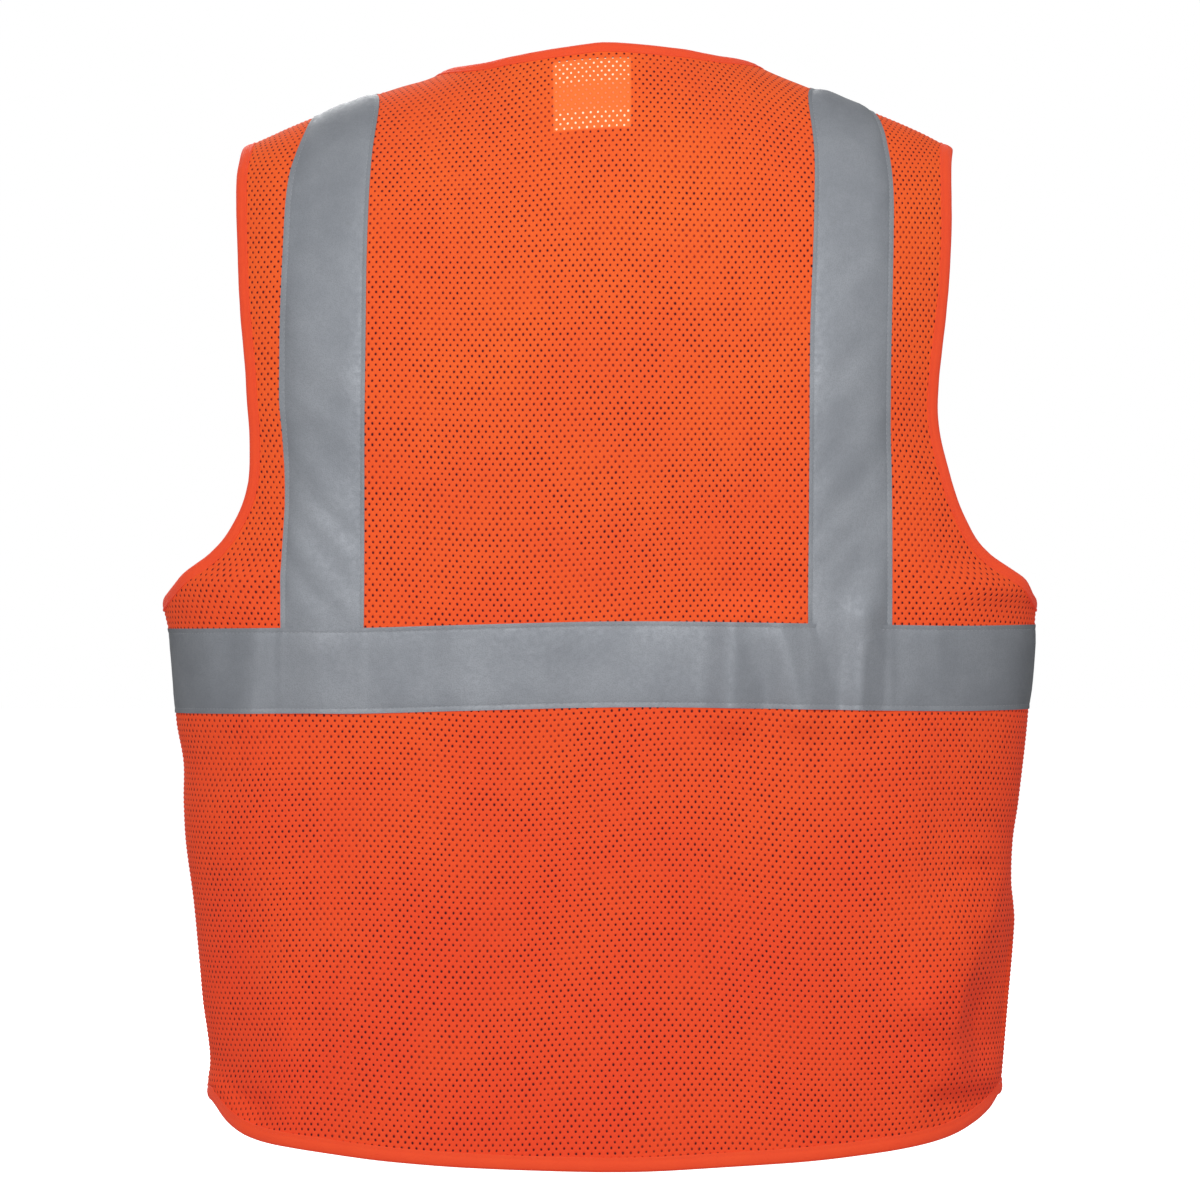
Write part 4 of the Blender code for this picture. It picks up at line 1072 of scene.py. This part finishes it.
for word, sign in SIGNS.items():
    foot = float(level_height(1, 0.0, np.array(half_width(0.0))))
    h = np.linspace(foot - 0.0005, UNDERARM_HEIGHT + 0.0015, 120)
    places = [(side, sign * near_side(h, ratio), h) for side, ratio in SEAM_TAPE]
    garment.append(seam_tape(f"{word}_side_seam", places))
    reach = across(-1, np.array([0.0, 1.0]), 2.0, inner_edge, outer_edge)[0]
    x = np.linspace(reach.min(), reach.max(), 60)
    places = [(side, sign * x, level_height(side, 1.0 + ratio, x)) for side, ratio in SEAM_TAPE]
    garment.append(seam_tape(f"{word}_shoulder_seam", places))


# Separating zip: woven tapes with a corded edge, moulded teeth, stops, pin, box and slider.
TOOTH_PITCH = 0.0030
# Right half of a tooth seen from the front, in mm: out from the zip's middle, and up.
TOOTH_SECTION = [(9.9, -0.55), (8.6, -0.80), (7.2, -0.80), (6.7, -0.50), (6.3, -1.00),
                 (5.8, -0.85), (5.5, -0.30), (5.5, 0.30), (5.8, 0.85), (6.3, 1.00), (6.7, 0.50),
                 (7.2, 0.80), (8.6, 0.80), (9.9, 0.55)]
TEETH_HEIGHTS = (0.0445, 0.3870)
PATCH_HEIGHTS = (0.0110, 0.0400)      # stiff patches at the foot of the zip's tapes
for word, sign in SIGNS.items():
    tape_x = sign * np.linspace(0.0092, 0.0247, 14)[None, :]
    tape_h = np.linspace(ZIP_BOTTOM, ZIP_TOP, 240)[:, None]
    gx, gh = np.broadcast_arrays(tape_x, tape_h)
    ripple = 0.00012 * waves(gx, gh, 0.006, 0.012, 60.0 + sign)
    outer_y = ZIP_Y - 0.0003 + ripple
    lower = np.stack([gx, outer_y + 0.0006, gh + DROP], -1)
    upper = np.stack([gx, outer_y, gh + DROP], -1)
    tape = cloth(f"{word}_zip_ribbon", lower, upper, np.stack([gx, gh], -1), zip_cloth)
    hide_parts(f"{word}_zip_tape")
    cord = Shape().sweep([(sign * 0.0094, ZIP_Y, z + DROP) for z in np.linspace(ZIP_BOTTOM,
                                                                               ZIP_TOP, 60)],
                         (0, 1, 0), ring_section(0.0008)).made(f"{word}_zip_cord", zip_cloth)
    teeth = Shape()
    first = TEETH_HEIGHTS[0] + (TOOTH_PITCH / 2 if sign < 0 else 0.0)
    for z in np.arange(first, TEETH_HEIGHTS[1], TOOTH_PITCH):
        teeth.slab([(sign * x / 1000, z + DROP + up / 1000) for x, up in TOOTH_SECTION],
                   ZIP_Y - 0.0013, ZIP_Y + 0.0013, 0.0003)
    teeth = teeth.made(f"{word}_zip_teeth", zip_plastic, 30)
    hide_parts(f"{word}_zip_chain")
    stop = Shape().plate((sign * 0.0055, sign * 0.0100), (0.3885, 0.3925), 0.0008, 0.0019, 0.0005)
    stop = stop.made(f"{word}_top_stop", zip_plastic)
    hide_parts(f"{word}_zip_stop")
    fronts[word] += [tape, cord, teeth, stop]

pin = Shape().sweep([(0.0079, ZIP_Y, z + DROP) for z in (0.0115, 0.0121, 0.030, 0.0426)],
                    (0, 1, 0), ring_section(0.0009))
pin.plate((0.0070, 0.0230), PATCH_HEIGHTS, 0.0006, 0.00055, 0.0002)
pin = pin.made("zip_pin", zip_plastic)
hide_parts("insertion_pin")
fronts["left"].append(pin)
box = Shape()
for x_range in ((-0.0089, -0.0054), (-0.0030, -0.0012)):
    box.plate(x_range, (0.0100, 0.0235), 0.0005, 0.0022, 0.0004)
box.plate((-0.0060, -0.0024), (0.0100, 0.0125), 0.0004, 0.0022, 0.0004)
for y_low in (ZIP_Y - 0.0022, ZIP_Y + 0.0013):
    box.slab(round_box((-0.0060, -0.0024), (0.0102 + DROP, 0.0233 + DROP), 0.0004), y_low,
             y_low + 0.0009, 0.0002)
for z in (0.0130, 0.0155, 0.0180, 0.0205):
    box.plate((-0.0086, -0.0015), (z, z + 0.0011), 0.0004, 0.0025, 0.0003)
box.plate((-0.0230, -0.0070), PATCH_HEIGHTS, 0.0006, 0.00055, 0.0002)
box.sweep([(-0.0079, ZIP_Y, z + DROP) for z in (0.0225, 0.030, 0.0426)], (0, 1, 0),
          ring_section(0.0009))
box = box.made("zip_box", zip_plastic)
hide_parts("retainer_box")
fronts["right"].append(box)

# Slider: two shield-shaped plates joined at the top, side flanges, and the bridge.
SLIDER_X, SLIDER_Z = -0.0040, 0.0290 + DROP
shield = [(SLIDER_X + x / 1000, SLIDER_Z + z / 1000) for x, z in (
    (-6.5, 2.4), (-6.1, 4.3), (-4.6, 5.0), (-1.8, 4.9), (0.0, 4.3), (1.8, 4.9), (4.6, 5.0),
    (6.1, 4.3), (6.5, 2.4), (6.0, -1.0), (5.0, -4.2), (4.2, -5.0), (-4.2, -5.0), (-5.0, -4.2),
    (-6.0, -1.0))]
slider = Shape()
slider.slab(shield, ZIP_Y - 0.00255, ZIP_Y - 0.00155)
slider.slab(shield, ZIP_Y + 0.00155, ZIP_Y + 0.00255)
slider.slab(round_box((SLIDER_X - 0.0012, SLIDER_X + 0.0012), (SLIDER_Z + 0.0012,
                                                             SLIDER_Z + 0.0046), 0.0009),
            ZIP_Y - 0.0018, ZIP_Y + 0.0018, 0.0001)
for edge in (-1, 1):
    for y in (ZIP_Y - 0.0016, ZIP_Y + 0.0016):
        rail = [(SLIDER_X + edge * x / 1000, y, SLIDER_Z + z / 1000)
                for x, z in ((5.9, 2.6), (5.5, -1.0), (4.6, -4.2))]
        slider.sweep(rail, (0, 1, 0), [(-0.0004, -0.0002), (0.0004, -0.0002), (0.0004, 0.0002),
                                       (-0.0004, 0.0002)])
loop = [(4.2, 0.6), (4.4, -1.2), (3.9, -2.3), (2.6, -2.75), (0.0, -2.85), (-2.6, -2.75),
        (-3.9, -2.3), (-4.4, -1.2), (-4.2, 0.6)]
slider.sweep([(SLIDER_X, ZIP_Y - 0.00255 + y / 1000, SLIDER_Z + z / 1000) for z, y in loop],
             (1, 0, 0), [(-0.0004, -0.0011), (0.0, -0.0012), (0.0004, -0.0011), (0.0004, 0.0011),
                         (0.0, 0.0012), (-0.0004, 0.0011)])
slider = slider.made("slider_body", zip_metal, 35)
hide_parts("zip_slider")
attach(slider, "slider")

# Pull tab: a frame that swings on the bridge, and a tapered grip with a raised rim.
PIVOT_Z, PIVOT_Y = 0.0270 + DROP, -0.12245
pull = Shape()
frame_path = [(SLIDER_X + x, PIVOT_Y, PIVOT_Z + z) for x, z in
              round_box((-0.0034, 0.0034), (-0.0091, 0.0000), 0.0018, 6)]
pull.sweep(frame_path, (0, 1, 0), [(0.0006 * math.cos(a), 0.00065 * math.sin(a)) for a in
                                   np.linspace(0, 2 * math.pi, 10, endpoint=False)], True)
grip = [(SLIDER_X + x / 1000, PIVOT_Z + z / 1000) for x, z in (
    (-3.1, -8.4), (-4.0, -10.5), (-3.9, -16.0), (-3.4, -20.5), (-2.3, -22.4), (0.0, -23.0),
    (2.3, -22.4), (3.4, -20.5), (3.9, -16.0), (4.0, -10.5), (3.1, -8.4))]
pull.slab(grip, PIVOT_Y - 0.00040, PIVOT_Y + 0.00040)
rim = np.array(grip)
rim = rim.mean(0) + (rim - rim.mean(0)) * (0.88, 0.94)
pull.sweep([(x, PIVOT_Y, z) for x, z in rim], (0, 1, 0),
           [(-0.0004, -0.00062), (0.0004, -0.00062), (0.0004, 0.00062), (-0.0004, 0.00062)], True)
for k in range(4):
    pull.slab(round_box((SLIDER_X - 0.0020, SLIDER_X + 0.0020),
                        (PIVOT_Z - 0.0130 - 0.0020 * k, PIVOT_Z - 0.0122 - 0.0020 * k), 0.00035),
              PIVOT_Y - 0.00060, PIVOT_Y + 0.00060, 0.0002)
pull = pull.made("pull_grip", zip_metal, 35)
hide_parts("pull_tab")
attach(pull, "pull")

# Bodies. Cloth that crosses a fold line is attached to no body; its placement is applied to its
# points.
for piece in garment:
    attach(piece, "garment")
for word, sign in SIGNS.items():
    for piece in fronts[word]:
        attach(piece, f"{word}_front")
    bottom = Vector((sign * FOLD_BOTTOM[0], FOLD_BOTTOM[1], FOLD_BOTTOM[2]))
    top = Vector((sign * FOLD_TOP[0], FOLD_TOP[1], FOLD_TOP[2]))
    axis = (top - bottom).normalized()
    outer = Vector((sign, 0.0, 0.0))
    outer = (outer - axis * outer.dot(axis)).normalized()
    middle = (bottom + top) / 2
    for piece in blended[word]:
        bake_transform(piece)

# Cut sizes of the cloth pieces: name, (width, length), cut area, how it is held, what holds it,
# and what is sewn to it.
BACK_CUT, BACK_CUT_AREA = (0.650, 0.702), 0.352
FRONT_CUT, FRONT_CUT_AREA = (0.312, 0.702), 0.152
SHEETS = [("back_cloth", BACK_CUT, BACK_CUT_AREA, "hung", [],
           ["back_hem", "back_hem_stitching", "neck_edge", "neck_edge_stitching"]
           + [f"{word}_{part}_seam" for word in SIGNS for part in ("side", "shoulder")]),
          ("back_band_tape", (0.650, 2 * 0.0254), None, "laid", ["back_cloth"],
           ["back_band_tape_stitching"]),
          ("care_label", (0.0455, 0.0500), None, "hung", ["back_cloth"], [])]
for word in SIGNS:
    front = f"{word}_front_cloth"
    SHEETS += [
        (front, FRONT_CUT, FRONT_CUT_AREA, "hung", ["back_cloth"],
         [f"{word}_{part}{end}" for part in ("neck_edge", "front_hem", "arm_edge")
          for end in ("", "_stitching")] + [f"{word}_zip_edge_stitching"]),
        (f"{word}_front_band", (0.311, 2 * 0.0254), None, "laid", [front],
         [f"{word}_front_band_stitching"]),
        (f"{word}_shoulder_strip", (2 * 0.0254, 0.790), None, "laid", [front, "back_cloth"],
         [f"{word}_shoulder_strip_stitching"]),
        (f"{word}_pocket_cloth", (0.0810, 0.1450), None, "laid", [front],
         [f"{word}_pocket_edge", f"{word}_pocket_edge_stitching", f"{word}_pocket_stitching"]),
        (f"{word}_zip_ribbon", (0.0155, 0.3870), None, "stretched", [front],
         [f"{word}_zip_cord"])]

# Floor, light and camera.
WORLD_LIGHT = 0.27
bpy.ops.mesh.primitive_plane_add(size=40.0, location=(0.0, 0.0, -0.70))
floor = bpy.context.object
floor.name = "floor"
paint = Net("floor_paint", 0.9)
spot = paint.place(False)
seen = paint.node("ShaderNodeLightPath").outputs["Is Camera Ray"]
pale = paint.mix(paint.noise(spot, 1.4, 3.0), (0.86, 0.86, 0.86), (0.88, 0.88, 0.88))
paint.colour(paint.mix(seen, (0.34, 0.34, 0.34), pale))
paint.shader.inputs["Emission Color"].default_value = (1.0, 1.0, 1.0, 1.0)
paint.put(paint.smooth(seen, 0.0, 1.0, 0.05, 0.80), paint.shader.inputs["Emission Strength"])
floor.data.materials.append(paint.material)

world = bpy.data.worlds.new("studio")
bpy.context.scene.world = world
world.use_nodes = True
sky = world.node_tree
sky.nodes["Background"].inputs[0].default_value = (1.0, 1.0, 1.0, 1.0)
rays = sky.nodes.new("ShaderNodeLightPath")
glow = sky.nodes.new("ShaderNodeMapRange")
sky.links.new(rays.outputs["Is Camera Ray"], glow.inputs[0])
glow.inputs[3].default_value = WORLD_LIGHT
glow.inputs[4].default_value = 1.0
sky.links.new(glow.outputs[0], sky.nodes["Background"].inputs[1])


softbox("key", (0.35, 3.0, 1.0), (0.0, 0.0, -0.3), 1.0, 90.0)
softbox("top_fill", (-0.75, 0.9, 0.9), (-0.16, 0.04, -0.02), 0.5, 3.6)
softbox("front_fill", (0.6, -2.6, 1.2), (0.0, 0.0, -0.3), 1.6, 58.0)

lens = bpy.data.cameras.new("camera")
lens.sensor_width = 36.0
lens.lens = 6572 / 1200 * 36.0
lens.clip_end = 60.0
camera = bpy.data.objects.new("camera", lens)
bpy.context.collection.objects.link(camera)
camera.location = (-0.0003, 4.0, 0.338 - SHOULDER_HEIGHT)
camera.rotation_euler = (math.radians(90), 0.0, math.radians(180))
bpy.context.scene.camera = camera
bpy.context.scene.view_settings.view_transform = "Standard"
